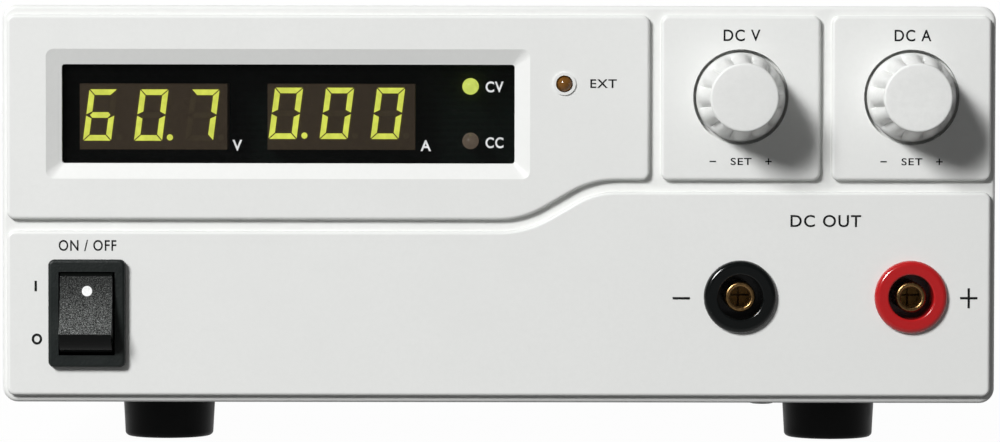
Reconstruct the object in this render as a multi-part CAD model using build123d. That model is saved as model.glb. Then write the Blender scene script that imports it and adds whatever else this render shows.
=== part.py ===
from build123d import *
import os
from math import cos, radians, sin, tan

# Bench power supply with rotary controls in front and its main output at the rear.
# Frame: +Z up, the front faces -Y, the origin is under the middle of the whole object.
# All sizes are in millimetres.

# Overall
CASE_WIDTH = 200.0
BODY_HEIGHT = 80.0
CASE_DEPTH = 215.0
FOOT_HEIGHT = 10.0
KNOB_PROUD = 15.0
POST_PROUD = 22.0

# Clearances
SLIP = 0.2
SHAFT_PLAY = 0.05
FREE = 0.3
SEAT = 0.02

# Sheet-metal case
SHEET = 1.2
CASE_INSET = 0.5
FLANGE = 12.0
FOLD_RADIUS = 2.5
SLOT_COUNT = 14
SLOT_PITCH = 8.0
SLOT_LENGTH = 26.0
SLOT_WIDTH = 3.2
SLOT_MIDDLE_HEIGHT = 52.0
SCREW_SHANK = 1.5
SCREW_HEAD = 2.9
SCREW_HEAD_HEIGHT = 1.8
SCREW_LENGTH = 7.0
SCREW_ROUNDING = 0.6

# Front bezel
BEZEL_DEPTH = 14.0
OUTLINE_RADIUS = 3.0
RIM_EDGE = 0.8
SIDE_BAND = 1.0
TOP_BAND = 1.9
BOTTOM_BAND = 1.4
PAD_RAISE = 1.5
PAD_EDGE = 0.7
PAD_CORNER = 1.6
GROOVE = 2.25
KNOB_PAD_WIDTH = 32.1
KNOB_PAD_HEIGHT = 33.2
DISPLAY_PAD_HEIGHT = 41.25
STEP_FROM_RIGHT = 11.6
STEP_ANGLE = 30.0
STEP_RADIUS = 17.6
FACE_WALL = 4.0
SKIRT_WALL = 2.2
TONGUE_LENGTH = 8.0
TONGUE_ROOT = 4.0
TONGUE_WALL = 1.8

# Display window
WINDOW_FROM_SIDE = 12.0
WINDOW_FROM_PAD_END = 27.15
WINDOW_FROM_TOP = 10.0
WINDOW_HEIGHT = 19.9
WINDOW_CORNER = 0.6
WINDOW_SLOPE = 3.1
WINDOW_SLOPE_DEPTH = 1.2
WINDOW_DEPTH = 2.5
PANE_LAP = 2.0

# Display modules, lamps and their board
MODULE_FROM_SIDE = 3.33
MODULE_GAP = 8.12
LEGEND_WIDTH = 20.1
MODULE_HEIGHT = 13.3
MODULE_DEPTH = 8.0
MODULE_DROP = 0.6
MODE_LAMP_FROM_END = 8.95
MODE_LAMP_PITCH = 11.1
LAMP_RADIUS = 1.5
LAMP_LENGTH = 5.0
REMOTE_LAMP_FROM_PAD_END = 17.15
REMOTE_LAMP_FROM_TOP = 13.8
LAMP_COLLAR_WALL = 0.6
LAMP_COLLAR_PROUD = 0.3
BOARD_THICKNESS = 1.6
BOARD_FROM_TOP = 4.4
BOARD_MARGIN = 4.4
BOARD_HEIGHT = 40.0
BOSS_RADIUS = 2.5
BOSS_INSET = 3.0
BOSS_BORE = 1.1

# Rotary controls
KNOB_FROM_TOP = 16.4
KNOB_RADIUS = 8.95
KNOB_TOP_RADIUS = 6.6
KNOB_EDGE = 1.0
KNOB_LOBES = 12
LOBE_RADIUS = 2.65
KNOB_SINK = 1.2
KNOB_HOLLOW = 6.4
KNOB_HOLLOW_DEPTH = 9.0
KNOB_HUB = 4.4
WELL_RADIUS = 9.6
WELL_DEPTH = 2.4
PUSH_TRAVEL = 0.5
SHAFT_RADIUS = 3.0
SHAFT_GRIP = 9.0
COLLAR_RADIUS = 4.2
COLLAR_THICKNESS = 1.1
PIVOT_PIN = 1.0
PIVOT_PIN_LENGTH = 1.0
ENCODER_WIDTH = 12.5
ENCODER_DEPTH = 6.5
ENCODER_BUSH = 3.6
ENCODER_WALL = 1.0
PLUNGER_THICKNESS = 1.6

# Power switch
SWITCH_FROM_SIDE = 17.2
SWITCH_FROM_BOTTOM = 18.0
SWITCH_WIDTH = 15.5
SWITCH_LENGTH = 21.7
SWITCH_PROUD = 1.8
SWITCH_CORNER = 1.2
SWITCH_BODY_WIDTH = 13.5
SWITCH_BODY_LENGTH = 19.8
SWITCH_BODY_DEPTH = 17.0
SWITCH_MOUTH_WIDTH = 11.3
SWITCH_MOUTH_LENGTH = 16.8
SWITCH_LIP = 0.7
SWITCH_WELL_LENGTH = 17.9
SWITCH_WELL_DEPTH = 13.0
ROCKER_WIDTH = 10.5
ROCKER_RADIUS = 8.6
ROCKER_PIVOT_DEPTH = 3.15
ROCKER_TILT = 17.0
ROCKER_EDGE_ANGLE = 45.0
ROCKER_END_ANGLE = 80.0
ROCKER_DISH = 0.9
ROCKER_FOOT_DEPTH = 5.0
ROCKER_FOOT_LENGTH = 6.0
ROCKER_PIN = 1.2
SPADE_WIDTH = 4.8
SPADE_THICKNESS = 0.8
SPADE_LENGTH = 9.0
SPADE_SPACING = 7.0

# Safety sockets
SOCKET_FROM_BOTTOM = 21.5
SOCKET_FLANGE_RADIUS = 7.35
SOCKET_FLANGE = 1.4
SOCKET_ROUNDING = 1.1
SOCKET_MOUTH_EDGE = 0.4
SOCKET_BODY_RADIUS = 6.0
SOCKET_BODY_LENGTH = 21.0
SOCKET_RECESS_RADIUS = 4.5
SOCKET_RECESS_DEPTH = 15.0
CONTACT_RADIUS = 3.05
CONTACT_BORE = 2.0
CONTACT_BORE_DEPTH = 18.0
CONTACT_SUNK = 1.6
CONTACT_LENGTH = 24.0
CONTACT_TAIL = 1.2
CONTACT_TAIL_LENGTH = 5.0
NUT_ACROSS = 15.0
NUT_THICKNESS = 3.0

# Feet
FOOT_FROM_MIDDLE = 69.4
FOOT_FROM_FRONT = 42.0
FOOT_FROM_REAR = 38.0
FOOT_TOP_RADIUS = 9.8
FOOT_BASE_RADIUS = 9.2
FOOT_EDGE = 1.0
FOOT_SINK_RADIUS = 4.4
FOOT_SINK_DEPTH = 5.5
FOOT_SHANK = 2.0
FOOT_SCREW_HEAD = 3.8
FOOT_SCREW_HEAD_HEIGHT = 2.6
FOOT_NUT_RADIUS = 3.6
FOOT_NUT_HEIGHT = 2.5
BEZEL_SCREW_X = 54.0
BEZEL_SCREW_FROM_FRONT = 18.0
BEZEL_BOSS_RADIUS = 3.5
BEZEL_BOSS_HEIGHT = 6.0

# Main board and what stands on it
MAIN_BOARD_FROM_FRONT = 40.0
MAIN_BOARD_LENGTH = 126.0
MAIN_BOARD_MARGIN = 9.0
SPACER_HEIGHT = 6.0
SPACER_RADIUS = 2.8
SPACER_INSET = 3.6
HEATSINK_WIDTH = 26.0
HEATSINK_HEIGHT = 44.0
HEATSINK_BASE = 3.0
HEATSINK_FIN = 1.6
HEATSINK_FINS = 6
HEATSINK_FROM_EDGE = 10.0
HEATSINK_FROM_REAR = 12.0
HEATSINK_GAP = 4.4
TRANSISTOR_WIDTH = 15.8
TRANSISTOR_HEIGHT = 20.0
TRANSISTOR_THICKNESS = 4.8
TRANSISTOR_COUNT = 3
TRANSISTOR_RISE = 8.0
CORE_WIDTH = 44.0
CORE_DEPTH = 16.0
CORE_HEIGHT = 40.0
CORE_FROM_MIDDLE = 7.0
WINDING_BUILD = 5.0
WINDING_GAP = 1.0
BULK_CAN_RADIUS = 12.5
BULK_CAN_HEIGHT = 34.0
OUTPUT_CAN_RADIUS = 8.0
OUTPUT_CAN_HEIGHT = 28.0
CAN_GROOVE = 0.8
CHOKE_RADIUS = 14.0
CHOKE_HOLE = 6.0
CHOKE_THICKNESS = 12.0
CHOKE_GAP = 4.0
BULK_CAN_GAP = 15.5

# Fan
FAN_SIZE = 60.0
FAN_THICKNESS = 15.0
FAN_CORNER = 4.0
FAN_BORE = 28.5
FAN_HOLE_SPACING = 50.0
FAN_HOLE = 2.15
FAN_HUB = 13.0
FAN_BLADE_TIP = 27.6
FAN_BLADES = 7
FAN_BLADE_THICKNESS = 1.4
FAN_BLADE_PITCH = 38.0
FAN_BLADE_LENGTH = 12.0
FAN_STRUT = 3.0
FAN_STRUTS = 4
FAN_STRUT_DEPTH = 3.0
FAN_AXLE = 1.5
FAN_FROM_SIDE = 42.0
FAN_FROM_TOP = 40.0
WIRE_RADIUS = 0.8
GUARD_ARM = 1.2
GUARD_RINGS = 4
GUARD_PITCH = 7.0
GUARD_FIRST = 6.5

# Mains inlet with its fuse drawer
INLET_FROM_SIDE = 28.0
INLET_FROM_TOP = 44.0
INLET_WIDTH = 27.0
INLET_HEIGHT = 31.0
INLET_DEPTH = 24.0
INLET_RIM = 2.0
INLET_PROUD = 2.0
INLET_CORNER = 2.0
PLUG_WIDTH = 24.2
PLUG_HEIGHT = 16.6
PLUG_CHAMFER = 4.6
PLUG_DEPTH = 16.0
PLUG_RAISE = -5.4
PIN_SPACING = 14.0
PIN_WIDTH = 2.0
PIN_HEIGHT = 4.0
PIN_SUNK = 3.0
PIN_TAIL = 7.0
EARTH_RAISE = 4.0
DRAWER_WIDTH = 23.0
DRAWER_HEIGHT = 7.6
DRAWER_DEPTH = 15.0
DRAWER_RAISE = 9.6
DRAWER_GAP = 0.25
DRAWER_LIP = 1.2
DRAWER_PLATE = 1.6
FUSE_RADIUS = 2.6
FUSE_LENGTH = 20.0
FUSE_CAP_LENGTH = 3.0

# Main output posts
POST_SPACING = 19.0
POST_FROM_FAN = 22.5
POST_FROM_BOTTOM = 22.0
POST_BASE_RADIUS = 7.5
POST_BASE = 4.0
POST_BUSH_RADIUS = 4.8
POST_BUSH_LENGTH = 4.0
STUD_RADIUS = 3.0
STUD_BORE = 2.0
STUD_BORE_DEPTH = 14.0
STUD_TAIL = 13.0
STUD_NUT_RADIUS = 5.0
STUD_NUT_THICKNESS = 3.0
WASHER_RADIUS = 5.6
WASHER_THICKNESS = 1.6
WASHER_GAP = 0.1
CAP_RADIUS = 7.0
CAP_FLUTES = 12
CAP_FLUTE_RADIUS = 1.0
CAP_EDGE = 1.0

# Sockets of the remote control
REMOTE_FROM_TOP = 18.0
USB_FROM_ROUND_PORT = 22.0
USB_WIDTH = 12.0
USB_HEIGHT = 11.0
USB_DEPTH = 16.0
USB_MOUTH_WIDTH = 8.6
USB_MOUTH_HEIGHT = 7.9
USB_MOUTH_DEPTH = 9.0
USB_MOUTH_CHAMFER = 1.9
USB_TONGUE_WIDTH = 5.6
USB_TONGUE_HEIGHT = 3.2
PORT_PROUD = 0.6
ROUND_PORT_FROM_SLIDES = 23.0
ROUND_PORT_RADIUS = 8.0
ROUND_PORT_WALL = 1.6
ROUND_PORT_PROUD = 3.0
ROUND_PORT_DEPTH = 14.0
ROUND_PORT_FLANGE = 10.0
ROUND_PORT_FLANGE_THICKNESS = 1.4
ROUND_PORT_MOUTH = 8.0
CONTACT_PIN = 0.6
CONTACT_PIN_LENGTH = 5.0
CONTACT_PIN_CIRCLE = 4.2
CONTACT_PINS = 7
SLIDERS = 3
SLIDER_PITCH = 2.54
SLIDER_WIDTH = 1.3
SLIDER_LENGTH = 1.6
SLIDER_TRAVEL = 1.5
SLIDER_PROUD = 0.6
SLIDER_ROOT = 1.6
SLIDE_BLOCK_FROM_FAN = 13.0
SLIDE_BLOCK_HEIGHT = 7.0
SLIDE_BLOCK_DEPTH = 5.0
SLIDE_BLOCK_END = 1.2

# Inner leads
LEAD_RADIUS = 1.2
LEAD_BEND = 3.6
LEAD_STEP = 3.6
LEAD_FOOT_INSET = 3.0
RIBBON_WIDTH = 20.0
RIBBON_THICKNESS = 0.9

# Places worked out from the sizes above
X_SIDE = CASE_WIDTH / 2
Z_BASE = FOOT_HEIGHT
Z_TOP = FOOT_HEIGHT + BODY_HEIGHT
Z_MIDDLE = (Z_BASE + Z_TOP) / 2
Y_FRONT = KNOB_PROUD - (KNOB_PROUD + CASE_DEPTH + POST_PROUD) / 2
Y_REAR = Y_FRONT + CASE_DEPTH
Y_GROOVE = Y_FRONT + PAD_RAISE
Y_WALL = Y_FRONT + FACE_WALL
Y_BEZEL_BACK = Y_FRONT + BEZEL_DEPTH
Y_PANE = Y_FRONT + WINDOW_DEPTH
Y_BOARD = Y_WALL + FREE + MODULE_DEPTH
Y_PANEL = Y_REAR - SHEET
X_SHEET = X_SIDE - CASE_INSET
Z_SHEET_TOP = Z_TOP - CASE_INSET
Z_FLOOR_UNDER = Z_BASE + CASE_INSET
Z_FLOOR = Z_FLOOR_UNDER + SHEET
X_INNER = X_SHEET - SHEET - SLIP
Z_INNER_TOP = Z_SHEET_TOP - SHEET - SLIP
Z_MAIN_BOARD = Z_FLOOR + SPACER_HEIGHT
Z_MAIN_TOP = Z_MAIN_BOARD + BOARD_THICKNESS
Z_PAD_TOP = Z_TOP - TOP_BAND
Z_PAD_BOTTOM = Z_BASE + BOTTOM_BAND
X_PAD_END = X_SIDE - SIDE_BAND
X_KNOBS = [
    X_PAD_END - KNOB_PAD_WIDTH * 1.5 - GROOVE,
    X_PAD_END - KNOB_PAD_WIDTH / 2,
]
Z_KNOB = Z_PAD_TOP - KNOB_FROM_TOP
X_DISPLAY_END = X_PAD_END - 2 * (KNOB_PAD_WIDTH + GROOVE)
Z_KNOB_PAD = Z_PAD_TOP - KNOB_PAD_HEIGHT
Z_DISPLAY_PAD = Z_PAD_TOP - DISPLAY_PAD_HEIGHT
X_STEP = X_DISPLAY_END - STEP_FROM_RIGHT
STEP_RUN = (Z_KNOB_PAD - Z_DISPLAY_PAD) / tan(radians(STEP_ANGLE))
X_WINDOW = [-X_SIDE + WINDOW_FROM_SIDE, X_DISPLAY_END - WINDOW_FROM_PAD_END]
Z_WINDOW = Z_PAD_TOP - WINDOW_FROM_TOP - WINDOW_HEIGHT / 2
WINDOW_WIDTH = X_WINDOW[1] - X_WINDOW[0]
X_WINDOW_MIDDLE = (X_WINDOW[0] + X_WINDOW[1]) / 2
MODULE_WIDTH = (WINDOW_WIDTH - MODULE_FROM_SIDE - MODULE_GAP - LEGEND_WIDTH) / 2
X_MODULES = [
    X_WINDOW[0] + MODULE_FROM_SIDE + MODULE_WIDTH / 2,
    X_WINDOW[1] - LEGEND_WIDTH - MODULE_WIDTH / 2,
]
X_SWITCH = -X_SIDE + SWITCH_FROM_SIDE
Z_SWITCH = Z_BASE + SWITCH_FROM_BOTTOM
Y_SWITCH = Y_FRONT - SWITCH_PROUD
Y_ROCKER = Y_SWITCH + ROCKER_PIVOT_DEPTH
Z_SOCKET = Z_BASE + SOCKET_FROM_BOTTOM
Y_SOCKET = Y_FRONT - SOCKET_FLANGE
X_FAN = -X_SIDE + FAN_FROM_SIDE
Z_FAN = Z_TOP - FAN_FROM_TOP
X_INLET = X_SIDE - INLET_FROM_SIDE
Z_INLET = Z_TOP - INLET_FROM_TOP
X_FAN_END = X_FAN + FAN_SIZE / 2
X_POSTS = [X_FAN_END + POST_FROM_FAN, X_FAN_END + POST_FROM_FAN + POST_SPACING]
Z_POST = Z_BASE + POST_FROM_BOTTOM
Z_REMOTE = Z_TOP - REMOTE_FROM_TOP
X_SLIDES = X_FAN_END + SLIDE_BLOCK_FROM_FAN
X_ROUND_PORT = X_SLIDES + ROUND_PORT_FROM_SLIDES
X_USB = X_ROUND_PORT + USB_FROM_ROUND_PORT
Y_MAIN_BOARD = Y_FRONT + MAIN_BOARD_FROM_FRONT
X_MAIN_BOARD = X_SIDE - MAIN_BOARD_MARGIN
Y_MAIN_BACK = Y_MAIN_BOARD + MAIN_BOARD_LENGTH
Y_CHOKE = Y_MAIN_BOARD + CHOKE_RADIUS + SPACER_INSET
Y_SINK = [Y_CHOKE + CHOKE_RADIUS + HEATSINK_GAP, Y_MAIN_BACK - HEATSINK_FROM_REAR]
FEET = [
    (side * FOOT_FROM_MIDDLE, y)
    for y in (Y_FRONT + FOOT_FROM_FRONT, Y_REAR - FOOT_FROM_REAR)
    for side in (-1, 1)
]


# Plain helpers
def slab(sketch, y_near, y_far):
    """A flat shape drawn in X and Z, made solid between two depths."""
    return extrude(Plane.XZ.offset(-y_far) * sketch, amount=y_far - y_near)


def block(x_pair, y_pair, z_pair):
    """A box between two corners."""
    size = [pair[1] - pair[0] for pair in (x_pair, y_pair, z_pair)]
    middle = [(pair[0] + pair[1]) / 2 for pair in (x_pair, y_pair, z_pair)]
    return Pos(*middle) * Box(*size)


def rod_y(x, z, radius, y_near, y_far):
    """A round bar along Y."""
    return Pos(x, (y_near + y_far) / 2, z) * Rot(90, 0, 0) * Cylinder(radius, y_far - y_near)


def rod_z(x, y, radius, z_low, z_high):
    """A round bar along Z."""
    return Pos(x, y, (z_low + z_high) / 2) * Cylinder(radius, z_high - z_low)


def rod_x(y, z, radius, x_low, x_high):
    """A round bar along X."""
    return Pos((x_low + x_high) / 2, y, z) * Rot(0, 90, 0) * Cylinder(radius, x_high - x_low)


def group(pieces):
    """Separate solids of one kind, kept in one file."""
    return Compound([solid for piece in pieces for solid in piece.solids()])


def lead(points, radius=LEAD_RADIUS, bend=LEAD_BEND):
    """A round lead along straight runs joined by tangent arcs."""
    path = FilletPolyline(*points, radius=bend)
    return sweep(Plane(origin=path @ 0, z_dir=path % 0) * Circle(radius), path=path)


def pan_screw_up(x, y, z_seat, shank, head, head_height, length):
    """A pan-head screw that points up, its head under the seat."""
    top = rod_z(x, y, head, z_seat - head_height, z_seat)
    top = fillet(top.edges().group_by(Axis.Z)[0], head_height * SCREW_ROUNDING)
    return top + rod_z(x, y, shank, z_seat, z_seat + length)


def pan_screw_in(x, z, y_seat, length, way):
    """A pan-head screw along Y: way is +1 where it points towards the front."""
    head_end = y_seat + way * SCREW_HEAD_HEIGHT
    tip = y_seat - way * length
    head = rod_y(x, z, SCREW_HEAD, min(y_seat, head_end), max(y_seat, head_end))
    rim = head.edges().sort_by(Axis.Y)[-1 if way > 0 else 0]
    head = fillet(rim, SCREW_HEAD_HEIGHT * SCREW_ROUNDING)
    return head + rod_y(x, z, SCREW_SHANK, min(y_seat, tip), max(y_seat, tip))


# Front bezel
def pad(sketch):
    """One raised pad with rounded front edges, rooted in the face wall."""
    solid = slab(sketch, Y_FRONT, Y_GROOVE + PAD_RAISE / 2)
    return fillet(solid.edges().group_by(Axis.Y)[0], PAD_EDGE)


def step_outline(corners, z_high, z_low, shift, turn):
    """An outline whose one long edge steps between two heights on an S curve."""
    start = (X_STEP + shift, z_high)
    end = (X_STEP + shift - STEP_RUN, z_low)
    radii = [PAD_CORNER] * len(corners) + turn
    return make_face(FilletPolyline(*corners, start, end, radius=radii, close=True).edges())


def display_pad():
    """The outline of the pad round the window, stepped up at its right end."""
    corners = [
        (-X_PAD_END, Z_DISPLAY_PAD),
        (-X_PAD_END, Z_PAD_TOP),
        (X_DISPLAY_END, Z_PAD_TOP),
        (X_DISPLAY_END, Z_KNOB_PAD),
    ]
    return step_outline(corners, Z_KNOB_PAD, Z_DISPLAY_PAD, 0, [STEP_RADIUS] * 2)


def lower_pad():
    """The outline of the long lower pad, which follows the same step."""
    corners = [
        (-X_PAD_END, Z_DISPLAY_PAD - GROOVE),
        (-X_PAD_END, Z_PAD_BOTTOM),
        (X_PAD_END, Z_PAD_BOTTOM),
        (X_PAD_END, Z_KNOB_PAD - GROOVE),
    ]
    turn = [STEP_RADIUS - GROOVE, STEP_RADIUS + GROOVE]
    shift = GROOVE * tan(radians(STEP_ANGLE / 2))
    return step_outline(corners, Z_KNOB_PAD - GROOVE, Z_DISPLAY_PAD - GROOVE, shift, turn)


def knob_pad(x):
    """The outline of the pad behind one knob."""
    shape = RectangleRounded(KNOB_PAD_WIDTH, KNOB_PAD_HEIGHT, PAD_CORNER)
    return Pos(x, Z_PAD_TOP - KNOB_PAD_HEIGHT / 2) * shape


def window_cut():
    """Four sloped sides, the straight opening below them, and the pane's pocket behind."""
    at = Pos(X_WINDOW_MIDDLE, Z_WINDOW)
    y_slope = Y_FRONT + WINDOW_SLOPE_DEPTH
    mouth = at * RectangleRounded(
        WINDOW_WIDTH + 2 * WINDOW_SLOPE, WINDOW_HEIGHT + 2 * WINDOW_SLOPE, PAD_CORNER
    )
    opening = at * RectangleRounded(WINDOW_WIDTH, WINDOW_HEIGHT, WINDOW_CORNER)
    slope = loft([
        Plane.XZ.offset(-Y_FRONT) * mouth.face(),
        Plane.XZ.offset(-y_slope) * opening.face(),
    ], ruled=True)
    pocket = at * Rectangle(
        WINDOW_WIDTH + 2 * (PANE_LAP + SLIP), WINDOW_HEIGHT + 2 * (PANE_LAP + SLIP)
    )
    return slope + slab(opening, y_slope, Y_WALL) + slab(pocket, Y_PANE, Y_WALL)


def board_bosses():
    """Where the display board is screwed to the back of the bezel."""
    high = Z_TOP - BOARD_FROM_TOP - BOSS_INSET
    low = high - BOARD_HEIGHT + 2 * BOSS_INSET
    end = X_SIDE - BOARD_MARGIN - BOSS_INSET
    middle = X_DISPLAY_END - BOARD_MARGIN
    return [(x, z) for x in (-end, middle, end) for z in (low, high)]


def make_bezel():
    """The moulded front: skirt, face wall, raised pads, wells and openings."""
    at = Pos(0, Z_MIDDLE)
    outline = at * RectangleRounded(CASE_WIDTH, BODY_HEIGHT, OUTLINE_RADIUS)
    body = slab(outline, Y_GROOVE, Y_BEZEL_BACK)
    body = fillet(body.edges().group_by(Axis.Y)[0], RIM_EDGE)
    hollow = at * Rectangle(CASE_WIDTH - 2 * SKIRT_WALL, BODY_HEIGHT - 2 * SKIRT_WALL)
    body -= slab(hollow, Y_WALL, Y_BEZEL_BACK)

    lap = X_SIDE - X_INNER
    tongue_outer = at * RectangleRounded(
        CASE_WIDTH - 2 * lap, BODY_HEIGHT - 2 * lap, FOLD_RADIUS
    )
    inner = lap + TONGUE_WALL
    tongue_inner = at * Rectangle(CASE_WIDTH - 2 * inner, BODY_HEIGHT - 2 * inner)
    body += slab(
        tongue_outer - tongue_inner, Y_BEZEL_BACK - TONGUE_ROOT, Y_BEZEL_BACK + TONGUE_LENGTH
    )

    for shape in [display_pad(), lower_pad()] + [knob_pad(x) for x in X_KNOBS]:
        body += pad(shape)

    collar_x = X_DISPLAY_END - REMOTE_LAMP_FROM_PAD_END
    collar_z = Z_PAD_TOP - REMOTE_LAMP_FROM_TOP
    collar = LAMP_RADIUS + SLIP + LAMP_COLLAR_WALL
    body += rod_y(collar_x, collar_z, collar, Y_FRONT - LAMP_COLLAR_PROUD, Y_WALL)
    body -= rod_y(collar_x, collar_z, LAMP_RADIUS + SLIP, Y_FRONT - PAD_RAISE, Y_WALL)

    for x, z in board_bosses():
        body += rod_y(x, z, BOSS_RADIUS, Y_WALL, Y_BOARD)
        body -= rod_y(x, z, BOSS_BORE, Y_WALL, Y_BOARD)

    z_boss = Z_FLOOR + SLIP
    y_screw = Y_FRONT + BEZEL_SCREW_FROM_FRONT
    body += rod_z(BEZEL_SCREW_X, y_screw, BEZEL_BOSS_RADIUS, z_boss, z_boss + BEZEL_BOSS_HEIGHT)
    body -= rod_z(BEZEL_SCREW_X, y_screw, SCREW_SHANK + SEAT, Z_BASE, z_boss + BEZEL_BOSS_HEIGHT)

    body -= window_cut()
    for x in X_KNOBS:
        body -= rod_y(x, Z_KNOB, WELL_RADIUS, Y_FRONT - PAD_RAISE, Y_FRONT + WELL_DEPTH)
        body -= rod_y(x, Z_KNOB, ENCODER_BUSH + SLIP, Y_FRONT, Y_WALL)
        body -= rod_y(x, Z_SOCKET, SOCKET_BODY_RADIUS + SLIP, Y_FRONT - PAD_RAISE, Y_WALL)
    cutout = Rectangle(SWITCH_BODY_WIDTH + 2 * SLIP, SWITCH_BODY_LENGTH + 2 * SLIP)
    body -= slab(Pos(X_SWITCH, Z_SWITCH) * cutout, Y_FRONT - PAD_RAISE, Y_WALL)
    return body


def make_pane():
    """The flat window pane, lapped behind the opening."""
    shape = Rectangle(WINDOW_WIDTH + 2 * PANE_LAP, WINDOW_HEIGHT + 2 * PANE_LAP)
    return slab(Pos(X_WINDOW_MIDDLE, Z_WINDOW) * shape, Y_PANE, Y_WALL)


# Display board and what it carries
def make_module(x):
    """A three-digit module: a tub that stands on the board, right behind the pane."""
    shape = Pos(x, Z_WINDOW - MODULE_DROP) * Rectangle(MODULE_WIDTH, MODULE_HEIGHT)
    return slab(shape, Y_BOARD - MODULE_DEPTH, Y_BOARD)


def lamp(x, z, y_tip):
    """A round lamp with a domed tip that stands on the board."""
    dome = Pos(x, y_tip + LAMP_RADIUS, z) * Sphere(LAMP_RADIUS)
    return dome + rod_y(x, z, LAMP_RADIUS, y_tip + LAMP_RADIUS, Y_BOARD)


def make_mode_lamps():
    """Two small lamps, one above the other, at the right end of the window."""
    x = X_WINDOW[1] - MODE_LAMP_FROM_END
    tip = Y_WALL + FREE
    heights = [Z_WINDOW - MODE_LAMP_PITCH / 2, Z_WINDOW + MODE_LAMP_PITCH / 2]
    return group([lamp(x, z, tip) for z in heights])


def make_remote_lamp():
    """The lamp that looks through the collar of the display pad."""
    x = X_DISPLAY_END - REMOTE_LAMP_FROM_PAD_END
    return lamp(x, Z_PAD_TOP - REMOTE_LAMP_FROM_TOP, Y_FRONT - LAMP_RADIUS / 2)


def make_display_board():
    """The board across the front, drilled for its screws."""
    z = Z_TOP - BOARD_FROM_TOP - BOARD_HEIGHT / 2
    shape = Pos(0, z) * Rectangle(CASE_WIDTH - 2 * BOARD_MARGIN, BOARD_HEIGHT)
    board = slab(shape, Y_BOARD, Y_BOARD + BOARD_THICKNESS)
    for x, z_hole in board_bosses():
        board -= rod_y(x, z_hole, SCREW_SHANK + SEAT, Y_BOARD, Y_BOARD + BOARD_THICKNESS)
    return board


def spacer_places():
    """Six places, three along each long side of the main board."""
    front = Y_MAIN_BOARD + SPACER_INSET
    back = Y_MAIN_BACK - SPACER_INSET
    x = X_MAIN_BOARD - SPACER_INSET
    return [(side * x, y) for y in (front, (front + back) / 2, back) for side in (-1, 1)]


def make_board_screws():
    """The screws that hold the display board and the main board."""
    pieces = []
    for x, z in board_bosses():
        seat = Y_BOARD + BOARD_THICKNESS
        head = rod_y(x, z, SCREW_HEAD, seat, seat + SCREW_HEAD_HEIGHT)
        pieces.append(head + rod_y(x, z, BOSS_BORE - SEAT, Y_WALL + FREE, seat))
    for x, y in spacer_places():
        head = rod_z(x, y, SCREW_HEAD, Z_MAIN_TOP, Z_MAIN_TOP + SCREW_HEAD_HEIGHT)
        pieces.append(head + rod_z(x, y, SCREW_SHANK - SEAT, Z_FLOOR + FREE, Z_MAIN_TOP))
    return group(pieces)


# Rotary controls
Y_KNOB_BASE = Y_FRONT + KNOB_SINK
Y_KNOB_TOP = Y_FRONT - KNOB_PROUD
Y_ENCODER = Y_BOARD - ENCODER_DEPTH
Y_CAVITY = [Y_ENCODER + ENCODER_WALL, Y_BOARD - ENCODER_WALL]
Y_PLUNGER_BACK = Y_CAVITY[1] - PUSH_TRAVEL - FREE
Y_PLUNGER = Y_PLUNGER_BACK - PLUNGER_THICKNESS
Y_COLLAR = Y_PLUNGER - SHAFT_PLAY


def lobed_shape(reach):
    """A disc with a ring of round lobes that meet in narrow grooves."""
    ring = reach - LOBE_RADIUS * reach / KNOB_RADIUS
    shape = Circle(ring)
    for turn in range(KNOB_LOBES):
        place = Rot(0, 0, turn * 360 / KNOB_LOBES) * Pos(ring, 0)
        shape += place * Circle(LOBE_RADIUS * reach / KNOB_RADIUS)
    return shape


def make_knob(x):
    """A fluted knob that narrows to a flat round top, hollow round its hub."""
    at = Pos(x, Z_KNOB)
    grip = loft([
        Plane.XZ.offset(-Y_KNOB_BASE) * (at * lobed_shape(KNOB_RADIUS)).face(),
        Plane.XZ.offset(-Y_KNOB_TOP) * (at * lobed_shape(KNOB_TOP_RADIUS + KNOB_EDGE)).face(),
    ], ruled=True)
    envelope = rod_y(x, Z_KNOB, KNOB_RADIUS, Y_KNOB_TOP, Y_KNOB_BASE)
    rim = envelope.edges().sort_by(Axis.Y)[0]
    slope = KNOB_RADIUS - KNOB_TOP_RADIUS
    grip &= chamfer(rim, slope, slope)
    hollow = rod_y(x, Z_KNOB, KNOB_HOLLOW, Y_KNOB_BASE - KNOB_HOLLOW_DEPTH, Y_KNOB_BASE)
    hub = rod_y(x, Z_KNOB, KNOB_HUB, Y_KNOB_BASE - KNOB_HOLLOW_DEPTH, Y_KNOB_BASE)
    bore = rod_y(x, Z_KNOB, SHAFT_RADIUS + SEAT, Y_KNOB_BASE - SHAFT_GRIP, Y_KNOB_BASE)
    return grip - (hollow - hub) - bore


def make_shaft(x):
    """The control shaft with its retaining collar and the pin it turns on."""
    collar_front = Y_COLLAR - COLLAR_THICKNESS
    shaft = rod_y(x, Z_KNOB, SHAFT_RADIUS, Y_KNOB_BASE - SHAFT_GRIP, Y_COLLAR)
    shaft += rod_y(x, Z_KNOB, COLLAR_RADIUS, collar_front, Y_COLLAR)
    return shaft + rod_y(x, Z_KNOB, PIVOT_PIN, Y_COLLAR, Y_COLLAR + PIVOT_PIN_LENGTH)


def make_plunger(x):
    """The disc that the shaft turns on and that presses the push contact."""
    disc = rod_y(x, Z_KNOB, COLLAR_RADIUS, Y_PLUNGER, Y_PLUNGER_BACK)
    pin_end = Y_COLLAR + PIVOT_PIN_LENGTH + SHAFT_PLAY
    return disc - rod_y(x, Z_KNOB, PIVOT_PIN + SHAFT_PLAY, Y_PLUNGER, pin_end)


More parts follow.
